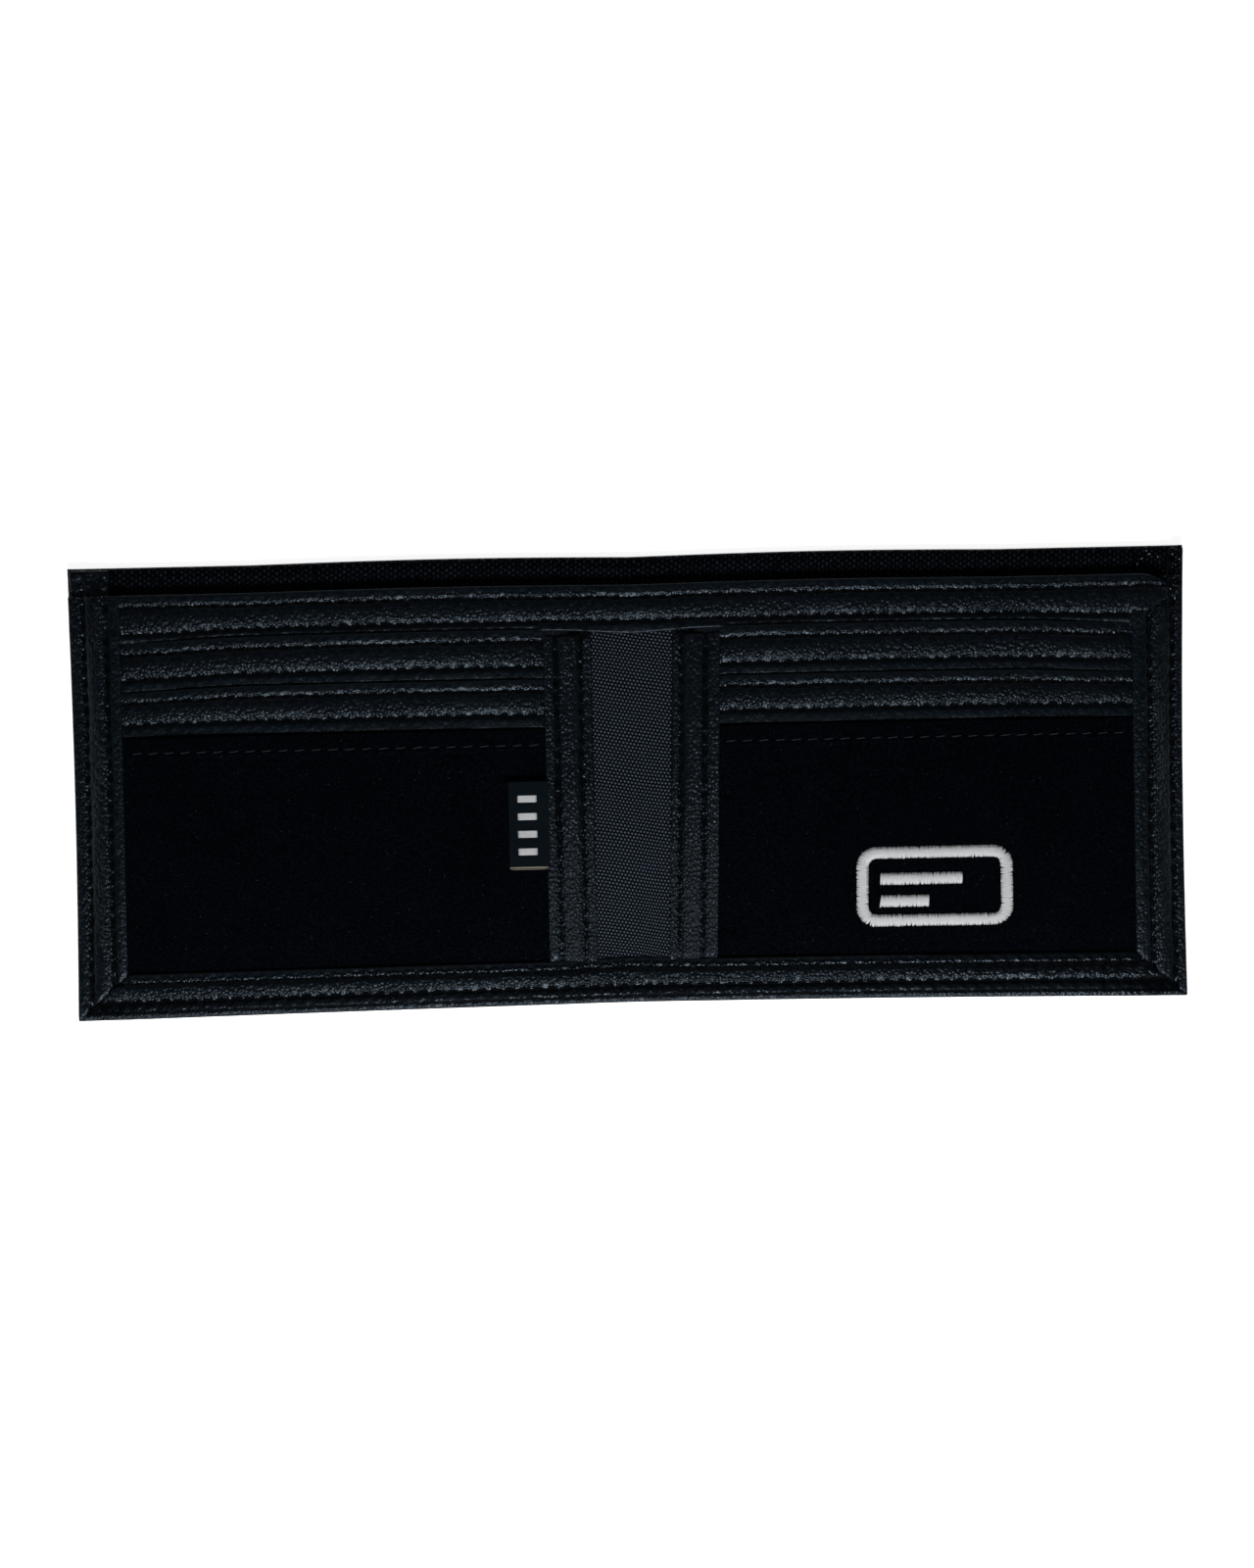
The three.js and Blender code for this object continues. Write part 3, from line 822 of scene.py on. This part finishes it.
def top_band(side):
    """The leather binding of the compartment's mouth. It wraps over the inner wall's upper edge.

    Its lower edge lies over the ends of the centre bands and is tucked under the first slot. On the right it
    ends in a tongue that is sewn over the side band, between a rounded corner and a slanting seam. On the left
    the side band lies over it.
    """
    wing = wing_of(side)
    outer = POCKET_OUTER if side < 0 else TONGUE_END
    tongue_root = SIDE_BAND_INNER + 1.5
    x, share = np.meshgrid(crossing(side, outer, 0.42, 0.0 if side < 0 else 0.5), stops(0, 1, 0.022, 0.035))
    across = below(MOUTH)

    def tucked(x):
        return ease([(CENTRE_BAND_OUTER + 0.4, 0), (CENTRE_BAND_OUTER + 2.4, 1)], np.abs(x))

    def low_edge(x):
        proud = 0.45 + 0.75 * np.exp(-(x / 9) ** 2)
        slant = ease([(SIDE_BAND_INNER - 0.5, 0), (SIDE_BAND_INNER + 1.2, 2.6), (TONGUE_END, 5.3)], x)
        return TOP_BAND_EDGE - proud * (1 - tucked(x)) - LAP * tucked(x) + slant

    def high_edge(x):
        return MOUTH - 2.3 * np.clip((x - tongue_root) / (TONGUE_END - tongue_root), 0, 1) ** 2

    def base(x, y):
        on_side_band = 0.6 * ease([(SIDE_BAND_INNER - 1.5, 0), (SIDE_BAND_INNER + 1, 1)], x)
        on_centre_band = ease([(CENTRE_BAND_INNER, 0), (CENTRE_BAND_INNER + 2, 0.6), (CENTRE_BAND_OUTER, 0.6),
                               (CENTRE_BAND_OUTER + 1.6, 0)], np.abs(x))
        on_centre_band = on_centre_band * ease([(TOP_BAND_EDGE - 1, 1), (TOP_BAND_EDGE + 3.5, 0)], y)
        thin = 1 - 0.4 * tucked(x) * ease([(TOP_BAND_EDGE - LAP, 1), (TOP_BAND_EDGE + 0.8, 0)], y)
        rounding = edge_drop(x, y, (None, None, low_edge(x), high_edge(x)), 0.35)
        return wall_top(x, y) + TOP_BAND_RISE[1] * thin + on_side_band + on_centre_band - rounding

    def flatten(x, y):
        return 1 - tucked(x) * ease([(TOP_BAND_EDGE - 0.3, 1), (TOP_BAND_EDGE + 0.6, 0)], y)

    def bottom(x, y):
        wrap = ease([(MOUTH - 1.2, 0), (MOUTH - 0.7, 1)], y)
        return wall_top(x, y) + 0.02 - wrap * (WALL + 0.35)

    y = low_edge(x) + share * (high_edge(x) - low_edge(x))
    width = MOUTH - TOP_BAND_EDGE + 1.2
    edges = (*outline(side, None, None if side < 0 else outer), None, None)
    top = sewn_leather(base, across, along_x, width, TOP_BAND_ROWS, edges, 31, flatten)
    piece = sheet(f"top_band_leather_{wing}", (x, y), top, bottom, LEATHER,
                  leather_grain(across, TOP_BAND_ROWS, 1), seam_shade(across, along_x, TOP_BAND_ROWS, (0,)))
    place_over_fold(piece, side, "leather", "top_band")
    ends = (SIDE_BAND_INNER, SIDE_BAND_INNER) if side < 0 else (TONGUE_END - 1.5, SIDE_BAND_INNER)
    return [stitch_lines(top, (0.3 * side, MOUTH - row), (side * end, MOUTH - row))
            for row, end in zip(TOP_BAND_ROWS, ends)]


def mitre_height(x):
    """The mitre between a side band and the bottom band."""
    share = (np.abs(x) - SIDE_BAND_INNER) / (HALF_WIDTH - SIDE_BAND_INNER)
    return BOTTOM_BAND_EDGE + share * (-HALF_HEIGHT - BOTTOM_BAND_EDGE)


def mitre_edge(distance, depth):
    """How far a band's end dips beside the mitre, at a distance from it."""
    return depth * (1 - ease([(0, 0), (0.7, 1)], distance * 0.7))


def bottom_band(side):
    """The lower binding, mitred at the wing's corner. It slopes down from its second strip to a thin rim."""
    wing = wing_of(side)
    xs = crossing(side, HALF_WIDTH, 0.42)
    ys = stops(-HALF_HEIGHT, BOTTOM_BAND_EDGE, 0.24, 0.45)
    x, y = np.meshgrid(xs, ys)
    share = (y - BOTTOM_BAND_EDGE) / (-HALF_HEIGHT - BOTTOM_BAND_EDGE)
    reach = SIDE_BAND_INNER + share * (HALF_WIDTH - SIDE_BAND_INNER) - 0.06
    past = np.clip((np.abs(x) - SQUEEZE_START) / (HALF_WIDTH - SQUEEZE_START), 0, 1)
    squeezed = side * (SQUEEZE_START + past * (reach - SQUEEZE_START))
    x = np.where(np.abs(x) > SQUEEZE_START, squeezed, x)
    edges = (None, None, -HALF_HEIGHT, BOTTOM_BAND_EDGE)
    width = HALF_HEIGHT + BOTTOM_BAND_EDGE
    first, second = BOTTOM_BAND_ROWS
    across = below(BOTTOM_BAND_EDGE)

    def toward_right_end(x):
        """The band lies flatter, with less grain, and has painted shade towards its right end."""
        return ease([(45, 0), (80, 1)], x)

    def base(x, y):
        s = across(x, y)
        share = np.clip((s - first) / (second - first), 0, 1)
        strip = 0.75 * share ** 0.5 * (1 - share) * (1 - 0.6 * toward_right_end(x))
        rise = 0.35 * ease([(0, 1), (first + 0.6, 0)], s)
        rim = 0.1 * np.exp(-((s - width + 1.5) / 0.3) ** 2) + 0.35 * ease([(width - 1.1, 0), (width, 1)], s)
        return bottom_band_base(x, np.maximum(y, -38)) + BAND + strip - rise - rim

    soft = sewn_leather(base, across, along_x, width, BOTTOM_BAND_ROWS, edges, 41, puff=0.1, groove=0.38)
    sewn = leather_grain(across, BOTTOM_BAND_ROWS, 2)
    grooves = seam_shade(across, along_x, BOTTOM_BAND_ROWS, (0, width))

    def top(x, y):
        past_mitre = np.maximum(mitre_height(x) - y, 0) + (np.abs(x) < 100) * 3
        return soft(x, y) - mitre_edge(past_mitre, MITRE_DEPTH[side])

    def grain(x, y):
        s = across(x, y)
        between = ease([(first, 0), (first + 0.6, 1), (second - 0.4, 1), (second, 0)], s)
        patches = np.maximum(sewn(x, y) + 0.25 * between, 1.1 * ease([(width - 1.3, 0), (width - 0.8, 1)], s))
        return patches * (1 - 0.45 * toward_right_end(x))

    def shade(x, y):
        s = across(x, y)
        # Painted shade from the second row down to the rim, standing in for the steep slope there.
        outside = 0.85 * ease([(second - 0.2, 0), (second + 0.5, 1), (width - 1.2, 1), (width - 0.8, 0)], s)
        # Painted shade from the upper edge to the first row, on the slope that faces away from the key light,
        # weaker towards the left end.
        inside = ease([(0.2, 0), (0.6, 1), (first, 1), (first + 0.5, 0)], s)
        inside = ease([(-70, 0.2), (-30, 0.7)], x) * inside
        # Painted shade towards the right end.
        right_end_shade = 0.65 * toward_right_end(x)
        dark = np.maximum(np.maximum(grooves(x, y), right_end_shade), np.maximum(outside, inside))
        # Along the free edges, short of the right end, the colour turns paler: edge wear with painted highlight.
        wear_and_highlight = (grooves(x, y) < 0) & (x < PALE_EDGE_END)
        return np.where(wear_and_highlight, grooves(x, y), dark)

    piece = sheet(f"bottom_band_leather_{wing}", (x, y), top, bottom_band_base, LEATHER, grain, shade)
    place_over_fold(piece, side, "leather", "bottom_band")
    rows = []
    for row in BOTTOM_BAND_ROWS:
        level = BOTTOM_BAND_EDGE - row
        end = SIDE_BAND_INNER + row * (HALF_WIDTH - SIDE_BAND_INNER) / width
        rows.append(stitch_lines(soft, (0.3 * side, level), (side * (end - 0.6), level)))
    return rows


def side_band(side):
    """The binding of a wing's end. On the right its outer strip runs on past the mouth to the corner."""
    wing = wing_of(side)
    xs = mirrored(side, SIDE_BAND_INNER, HALF_WIDTH, 0.24, 0.45)
    x, share = np.meshgrid(xs, np.linspace(0, 1, 210))
    if side < 0:
        high_y = np.full_like(x, MOUTH - 0.1)
    else:
        high_y = ease([(TONGUE_END - 0.6, MOUTH - 3.5), (TONGUE_END + 0.3, HALF_HEIGHT - 0.6)], x)
    low_y = mitre_height(x) + 0.06
    y = low_y + share * (high_y - low_y)
    edges = (*outline(side, SIDE_BAND_INNER, HALF_WIDTH), None, None)
    width = HALF_WIDTH - SIDE_BAND_INNER
    rows = SIDE_BAND_ROWS[side]
    end_shade = 0.85 if side > 0 else 0.3

    def across(x, y):
        return HALF_WIDTH - np.abs(x)

    def flatten(x, y):
        if side < 0:
            return 1.0
        beside_tongue = ease([(TOP_BAND_EDGE + 1, 1), (TOP_BAND_EDGE + 4, 0.15)], y)
        return np.maximum(beside_tongue, ease([(TONGUE_END - 0.5, 0), (TONGUE_END + 0.5, 1)], x))

    def base(x, y):
        return band_base(x, y) + BAND * (0.3 + 0.7 * flatten(x, y))

    def top(x, y):
        return soft(x, y) - mitre_edge(y - mitre_height(x), MITRE_DEPTH[side])

    def shade(x, y):
        return grooves(x, y) + end_shade * ease([(MOUTH - 4, 0), (MOUTH - 1, 1)], y)

    soft = sewn_leather(base, across, along_y, width, rows, edges, 51 + side, flatten, groove=1.3 * GROOVE)
    grain = leather_grain(across, rows, 3 + side, 0.6)
    grooves = seam_shade(across, along_y, rows, (0,))
    piece = sheet(f"side_band_leather_{wing}", (x, y), top, band_base, LEATHER, grain, shade)
    place_on_wing(piece, side, "leather", "side_band")
    stitches = []
    for row, end in zip(rows, (MOUTH - 3, MOUTH - 1 if side < 0 else TOP_BAND_EDGE + 1)):
        distance = side * (HALF_WIDTH - row)
        stitches.append(stitch_lines(soft, (distance, float(mitre_height(distance)) + 0.6), (distance, end)))
    return stitches


def centre_band(side):
    """The band beside the spine. Its ends are tucked under the top and bottom bands."""
    wing = wing_of(side)
    low_y, high_y = BOTTOM_BAND_EDGE - 0.8, TOP_BAND_EDGE + 0.9
    xs = mirrored(side, CENTRE_BAND_INNER, CENTRE_BAND_OUTER, 0.24, 0.45)
    grid = np.meshgrid(xs, stops(low_y, high_y, 0.42))
    edges = (*outline(side, CENTRE_BAND_INNER, CENTRE_BAND_OUTER), None, None)
    width = CENTRE_BAND_OUTER - CENTRE_BAND_INNER
    rows = CENTRE_BAND_ROWS[side]
    patchy = waves(65 + side, 18)

    def across(x, y):
        return np.abs(x) - CENTRE_BAND_INNER

    def free(x, y):
        return ease([(low_y, 0), (BOTTOM_BAND_EDGE + 1.2, 1),
                     (TOP_BAND_EDGE - 2.4, 1), (TOP_BAND_EDGE - 0.7, 0)], y)

    def under(x, y):
        wall = wall_top(x, y) + 0.05
        return wall + (band_base(x, y) - wall) * free(x, y)

    def base(x, y):
        return under(x, y) + BAND * (0.35 + 0.65 * free(x, y))

    def grain(x, y):
        return 0.8 + 1.8 * ease([(-26, 1), (6, 0)], y) + 0.2 * patchy(x, y)

    def shade(x, y):
        # Painted shade in the grooves, and painted highlight: paler towards the bottom, standing in for the key
        # light on the pebbles there.
        return painted_shade(x, y) - 0.7 * ease([(-26, 1), (4, 0)], y)

    top = sewn_leather(base, across, along_y, width, rows, edges, 61 + side, free, groove=1.2 * GROOVE)
    painted_shade = seam_shade(across, along_y, rows)
    piece = sheet(f"centre_band_leather_{wing}", grid, top, under, LEATHER, grain, shade)
    place_on_wing(piece, side, "leather", "centre_band")
    return [stitch_lines(top, (side * (CENTRE_BAND_INNER + row), BOTTOM_BAND_EDGE + 0.8),
                         (side * (CENTRE_BAND_INNER + row), TOP_BAND_EDGE - 0.8)) for row in rows]


def slot_edge(side, number, mouth, visible, rise, rows):
    """The leather edge of a card slot."""
    wing = wing_of(side)
    low_y = mouth - visible - LAP
    xs = mirrored(side, POCKET_INNER, POCKET_OUTER, 0.42)
    grid = np.meshgrid(xs, stops(low_y, mouth, 0.24, 0.35))
    across = below(mouth)
    edges = (None, None, low_y, mouth)
    shown = free_of(CENTRE_BAND_OUTER - 0.5, SIDE_BAND_INNER + 0.5)
    under = layer(rise[0])

    def unlapped(y):
        return ease([(mouth - visible - 0.6, 0), (mouth - visible + 0.5, 1)], y)

    def base(x, y):
        return under(x, y) + (rise[1] - rise[0]) * squeeze(x, y) * (0.4 + 0.6 * unlapped(y))

    def flatten(x, y):
        return shown(x, y) * unlapped(y)

    top = sewn_leather(base, across, along_x, visible, rows, edges, 70 + number + 5 * side, flatten)
    piece = sheet(f"slot_{number}_leather_{wing}", grid, top, under, LEATHER,
                  leather_grain(across, rows, 4 + number + side), seam_shade(across, along_x, rows, (0,)))
    place_on_wing(piece, side, "leather", f"slot_edge_{number}")
    return [stitch_lines(top, (side * (CENTRE_BAND_OUTER + 0.3), mouth - row),
                         (side * (SIDE_BAND_INNER - 0.2), mouth - row)) for row in rows]


def slot_panel(side, number, rise):
    """The cloth of a card slot, hidden behind the layers in front of it."""
    wing = wing_of(side)
    low, high = span_of(f"slot_panel_{number}_{wing}")
    top_y = high[1] - LAP - 0.3
    grid = np.meshgrid(stops(low[0], high[0], 2.0), stops(low[1], top_y, 2.0))
    piece = sheet(f"slot_{number}_cloth_{wing}", grid, layer(rise[1]), layer(rise[0]), POCKET_FABRIC)
    place_on_wing(piece, side, "pocket_fabric", f"slot_panel_{number}")


def suede_pocket(side):
    """The front pocket, with its mouth turned over and hemmed."""
    wing = wing_of(side)
    low, high = span_of(f"suede_pocket_{wing}")
    xs = stops(low[0], high[0], 0.8)
    panel = stops(low[1], POCKET_MOUTH - 5, 0.8)[:-1]
    hem_lines = stops(POCKET_MOUTH - 5, POCKET_MOUTH, 0.2)
    rim = POCKET_MOUTH - 0.3 * np.cos(np.linspace(0, np.pi / 2, 6))
    ys = np.concatenate([panel, hem_lines[hem_lines < POCKET_MOUTH - 0.3], rim])
    grid = np.meshgrid(xs, np.unique(ys))
    slack = waves(81 + side, 38)
    rumple = waves(85 + side, 13)
    edges = (None, None, None, POCKET_MOUTH)

    def top(x, y):
        hem = ease([(POCKET_MOUTH - HEM_ROW - 1.3, 0), (POCKET_MOUTH - HEM_ROW - 0.7, 1)], y)
        seam = np.exp(-((y - POCKET_MOUTH + HEM_ROW) / 0.3) ** 2)
        soft = 0.11 * slack(x, y) + 0.035 * rumple(x, y)
        held = ease([(-34, 0), (-24, 1)], y) * free_of(CENTRE_BAND_OUTER, SIDE_BAND_INNER, 7)(x, y)
        relief = HEM_THICKNESS * hem - 0.1 * seam + soft * held
        return suede_base(1)(x, y) + relief - edge_drop(x, y, edges, 0.3)

    piece = sheet(f"suede_pocket_panel_{wing}", grid, top, suede_base(0), SUEDE)
    place_on_wing(piece, side, "suede", "suede_pocket")
    hem_rows = [stitch_lines(top, (side * (CENTRE_BAND_OUTER + 0.2), POCKET_MOUTH - HEM_ROW),
                             (side * (SIDE_BAND_INNER - 0.2), POCKET_MOUTH - HEM_ROW),
                             HEM_PITCH, 2.3, 0.1, 0.1)]
    place_thread(thread(f"hem_stitches_{wing}", hem_rows, 0.11, HEM_THREAD), f"{wing}_wing")
    return top


def corner_tab():
    """The turned and crumpled end of the side band's leather at the compartment's mouth."""
    low, high = span_of("corner_tab_left")
    low_x, high_x = -HALF_WIDTH + 0.5, high[0]
    seam_x = -HALF_WIDTH + 3
    grid = np.meshgrid(stops(low_x, high_x, 0.25, 0.35), stops(low[1] - 1.2, high[1] + 0.5, 0.2, 0.35))
    edges = (low_x, high_x, None, high[1] + 0.5)
    fold = waves(91, 4.5)
    crumple = waves(93, 2.2)

    def top(x, y):
        ridge = 0.3 * np.exp(-((x + HALF_WIDTH - 5.4 + 0.5 * (y - low[1])) / 1.1) ** 2)
        seam = 0.35 * np.exp(-((x - seam_x) / 0.5) ** 2)
        relief = ridge - seam + 0.09 * fold(x, y) + 0.06 * crumple(x, y)
        return LINING_TOP + 0.5 + relief - edge_drop(x, y, edges, 0.35)

    def shade(x, y):
        # Painted shade along the seam's groove; the whole tab is also a little darker.
        return 0.35 + 0.6 * np.exp(-((x - seam_x) / 0.7) ** 2)

    piece = sheet("corner_tab_leather", grid, top, level_at(LINING_TOP + 0.02), LEATHER, level_at(0.5), shade)
    place_on_wing(piece, -1, "leather", "corner_tab")


def tack_ends():
    """Pale ends of the tacking thread and bits of fluff at the mouth's two corners.

    Their places are distances in from the corner. Below the mouth they lie on the bands, above it on the lining.
    """
    draw = np.random.default_rng(SEED + 11)
    share = np.linspace(-1, 1, 7)
    right = [(9.2, 3.8), (8.3, 2.7), (6.8, 1.8), (7.4, 1.1), (5.1, 2.4), (1.4, 1.0), (2.8, 9.0), (1.9, 10.6)]
    left = [(9.1, 8.4), (7.7, 2.0)]
    for side, on_band, places in ((1, 4.0, right), (-1, 3.4, left)):
        bits = []
        for inward, down in places:
            x, y = side * (HALF_WIDTH - inward), HALF_HEIGHT - down
            turn = draw.uniform(0, np.pi)
            reach = draw.uniform(0.12, 0.26) * share
            height = on_band if y < MOUTH else 2.0
            bits.append(np.stack([
                x + reach * np.cos(turn),
                y + reach * np.sin(turn) + 0.05 * np.sin(4 * reach),
                height + 0.12 * (1 - share ** 2),
            ], -1))
        name = wing_of(side)
        place_thread(thread(f"tack_ends_{name}", [np.array(bits)], 0.085, TACK), f"{name}_wing")


def bend_label(piece):
    """Bakes the label's placement into its mesh."""
    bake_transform(piece)


def woven_label():
    """A loop of ribbon caught in the seam, with plain woven bars and a pale edge."""
    low, high = LABEL_LOW, LABEL_HIGH
    hinge = high[0]
    edges = (low[0], None, low[1], high[1])

    def curl(x, y):
        return 0.5 * ((hinge - x) / (hinge - low[0])) ** 2 + 0.12 * np.sin((y - low[1]) * 0.5)

    def top(x, y):
        return low[2] + curl(x, y) - edge_drop(x, y, edges, 0.18)

    def bottom(x, y):
        return low[2] - 0.37 + curl(x, y) + edge_drop(x, y, edges, 0.16)

    grid = np.meshgrid(stops(low[0], hinge + 0.6, 0.25, 0.2), stops(low[1], high[1], 0.25, 0.2))
    piece = sheet("label_ribbon", grid, top, bottom, LABEL_WEAVE)
    bend_label(stand_for(piece, "label", "woven_label"))

    bars = []
    for start in np.arange(low[1] + 3.0, high[1] - 2.2, 3.6):
        for step in np.arange(0, 1.25, 0.2):
            x = np.linspace(low[0] + 1.6, hinge - 1.6, 9)
            y = np.full_like(x, start + step)
            z = top(x, y) + 0.015 - 0.1 * np.abs(np.linspace(-1, 1, 9)) ** 6
            bars.append(np.stack([x, y, z], -1))
    place_thread(thread("label_bars", [np.array(bars)], 0.09, SATIN), "label")

    weft = []
    for step in np.arange(0.02, 0.46, 0.14):
        x = np.linspace(low[0] + 0.1, hinge + 0.3, 13)
        y = np.full_like(x, low[1] + step)
        weft.append(np.stack([x, y, top(x, y) + 0.02 - 0.12 * (step < 0.2)], -1))
    pale = thread("label_edge", [np.array(weft)], 0.09, CREAM)
    bend_label(pale)


def satin_lines(surface, middle, normal, width, draw):
    """Threads laid side by side across a stroke: middle and normal are arrays of points and unit vectors."""
    share = np.linspace(-1, 1, 7)
    reach = width / 2 * (1 + 0.04 * draw.normal(size=len(middle)))[:, None] * share
    lean = 0.1 * draw.normal(size=len(middle))[:, None] * share
    ahead = np.stack([-normal[:, 1], normal[:, 0]], -1)
    xy = middle[:, None] + normal[:, None] * reach[..., None] + ahead[:, None] * lean[..., None]
    lift = 0.5 * np.sqrt(np.clip(1 - 0.92 * share ** 2, 0, 1)) + 0.02 * draw.normal(size=len(middle))[:, None]
    z = surface(xy[..., 0], xy[..., 1]) - 0.12 + lift
    return np.concatenate([xy, z[..., None]], -1)


def rounded_path(width, height, corner, pitch):
    """Points and outward normals round a rectangle with round corners, centred on the origin."""
    x, y = width / 2 - corner, height / 2 - corner
    count = max(3, round(corner * np.pi / 2 / pitch))
    points, normals = [], []
    centres = [((x, -y), -0.5), ((x, y), 0), ((-x, y), 0.5), ((-x, -y), 1)]
    for index, ((cx, cy), turn) in enumerate(centres):
        for angle in np.linspace(turn * np.pi, (turn + 0.5) * np.pi, count):
            points.append((cx + corner * math.cos(angle), cy + corner * math.sin(angle)))
            normals.append((math.cos(angle), math.sin(angle)))
        (nx, ny), _ = centres[(index + 1) % 4]
        ahead = (math.cos((turn + 0.5) * np.pi), math.sin((turn + 0.5) * np.pi))
        start = np.array(points[-1])
        end = np.array([nx, ny]) + corner * np.array(ahead)
        for share in np.linspace(0, 1, max(2, round(np.linalg.norm(end - start) / pitch)))[1:-1]:
            points.append(tuple(start + share * (end - start)))
            normals.append(ahead)
    return np.array(points), np.array(normals)


def emblem(surface):
    """A plain card sign in satin stitch: a rounded frame with two lines in it."""
    pitch = 0.3
    draw = np.random.default_rng(SEED + 7)
    centre = np.array([EMBLEM_LOW[0] + EMBLEM_HIGH[0], EMBLEM_LOW[1] + EMBLEM_HIGH[1]]) / 2
    width, height = EMBLEM_HIGH[0] - EMBLEM_LOW[0], EMBLEM_HIGH[1] - EMBLEM_LOW[1]
    bars = [span_of("emblem_bar_1"), span_of("emblem_bar_2")]
    stroke = bars[0][1][1] - bars[0][0][1]
    points, normals = rounded_path(width - stroke, height - stroke, 2.8, pitch)
    lines = satin_lines(surface, points + centre, normals, stroke, draw)
    piece = thread("emblem_frame_stitching", [lines], 0.19, SATIN)
    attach(stand_for(piece, "embroidery", "emblem_frame"), "right_wing")
    for index, (low, high) in enumerate(bars):
        middle = (low[1] + high[1]) / 2
        xs = np.arange(low[0] + 0.2, high[0] - 0.1, pitch)
        points = np.stack([xs, np.full_like(xs, middle)], -1)
        normals = np.tile([0.0, 1.0], (len(xs), 1))
        lines = satin_lines(surface, points, normals, stroke, draw)
        piece = thread(f"emblem_bar_stitching_{index + 1}", [lines], 0.19, SATIN)
        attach(stand_for(piece, "embroidery", f"emblem_bar_{index + 1}"), "right_wing")


def wing(side):
    """All of one wing's pieces. Gives the suede's upper face, which the emblem is stitched on."""
    name = wing_of(side)
    cover_across, cover_down = cover(side)
    lining(side)
    inner_wall(side)
    crossing_rows = [*top_band(side), *bottom_band(side), *cover_across]
    own_rows = [
        *side_band(side), *centre_band(side), *cover_down,
        *slot_edge(side, 1, SLOT_1_MOUTH, SLOT_1_MOUTH - SLOT_2_MOUTH, SLOT_EDGE_1_RISE, SLOT_1_ROWS),
        *slot_edge(side, 2, SLOT_2_MOUTH, SLOT_2_MOUTH - POCKET_MOUTH, SLOT_EDGE_2_RISE, SLOT_2_ROWS),
    ]
    slot_panel(side, 1, SLOT_PANEL_1_RISE)
    slot_panel(side, 2, SLOT_PANEL_2_RISE)
    suede = suede_pocket(side)
    long_seams = thread(f"long_seams_{name}", crossing_rows, THREAD_RADIUS, THREAD)
    bend(long_seams, side)
    place_thread(thread(f"wing_seams_{name}", own_rows, THREAD_RADIUS, THREAD), f"{name}_wing")
    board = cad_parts[f"stiffener_{name}"]
    board.data.materials.clear()
    board.data.materials.append(BOARD)
    return suede


# ---------------------------------------------------------------- camera, light and floor

def make_camera():
    """Looks straight down from above the middle of the wallet."""
    data = bpy.data.cameras.new("camera")
    data.lens = 80
    data.sensor_width = 36
    camera = bpy.data.objects.new("camera", data)
    camera.location = (-0.0003, -0.0006, 0.714)
    camera.rotation_euler = (0, 0, math.radians(-1.25))
    bpy.context.scene.collection.objects.link(camera)
    bpy.context.scene.camera = camera


def softbox(name, azimuth, elevation, distance, size, irradiance):
    """A square area light that faces the origin and gives it the irradiance in W/m2, face on."""
    data = bpy.data.lights.new(name, "AREA")
    data.shape = "SQUARE"
    data.size = size
    data.energy = irradiance * math.pi * distance ** 2
    light = bpy.data.objects.new(name, data)
    a, e = math.radians(azimuth), math.radians(elevation)
    away = Vector((math.sin(a) * math.cos(e), -math.cos(a) * math.cos(e), math.sin(e)))
    light.location = away * distance
    light.rotation_mode = "QUATERNION"
    light.rotation_quaternion = away.to_track_quat("Z", "Y")
    bpy.context.scene.collection.objects.link(light)


def make_world():
    """A dim studio whose walls get paler towards the floor."""
    world = bpy.data.worlds.new("studio")
    world.use_nodes = True
    tree = world.node_tree
    place = tree.nodes.new("ShaderNodeTexCoord")
    split = tree.nodes.new("ShaderNodeSeparateXYZ")
    ramp = tree.nodes.new("ShaderNodeValToRGB")
    stops_up = [(0.06, 0.85), (0.16, 0.3), (0.45, 0.22), (0.6, 0.03)]
    elements = ramp.color_ramp.elements
    while len(elements) < len(stops_up):
        elements.new(0.5)
    for element, (position, grey) in zip(elements, stops_up):
        element.position = position
        element.color = (grey, grey, grey, 1)
    tree.links.new(place.outputs["Generated"], split.inputs[0])
    tree.links.new(split.outputs["Z"], ramp.inputs["Fac"])
    tree.links.new(ramp.outputs["Color"], tree.nodes["Background"].inputs["Color"])
    bpy.context.scene.world = world


def make_floor():
    """A plain floor, in metres, just under the wallet."""
    half = 3.0
    points = [(-half, -half, 0), (half, -half, 0), (half, half, 0), (-half, half, 0)]
    mesh = bpy.data.meshes.new("floor")
    mesh.from_pydata(points, [], [(0, 1, 2, 3)])
    mesh.materials.append(floor_material())
    floor = bpy.data.objects.new("floor", mesh)
    floor.location.z = -0.0002
    bpy.context.scene.collection.objects.link(floor)


bpy.context.scene.view_settings.view_transform = "Standard"
make_camera()
make_world()
make_floor()
softbox("key", 0, 40, 0.55, 0.2, 4.4)
softbox("fill", 0, 88, 1.4, 0.8, 0.1)

wing(-1)
emblem(wing(1))
corner_tab()
tack_ends()
woven_label()
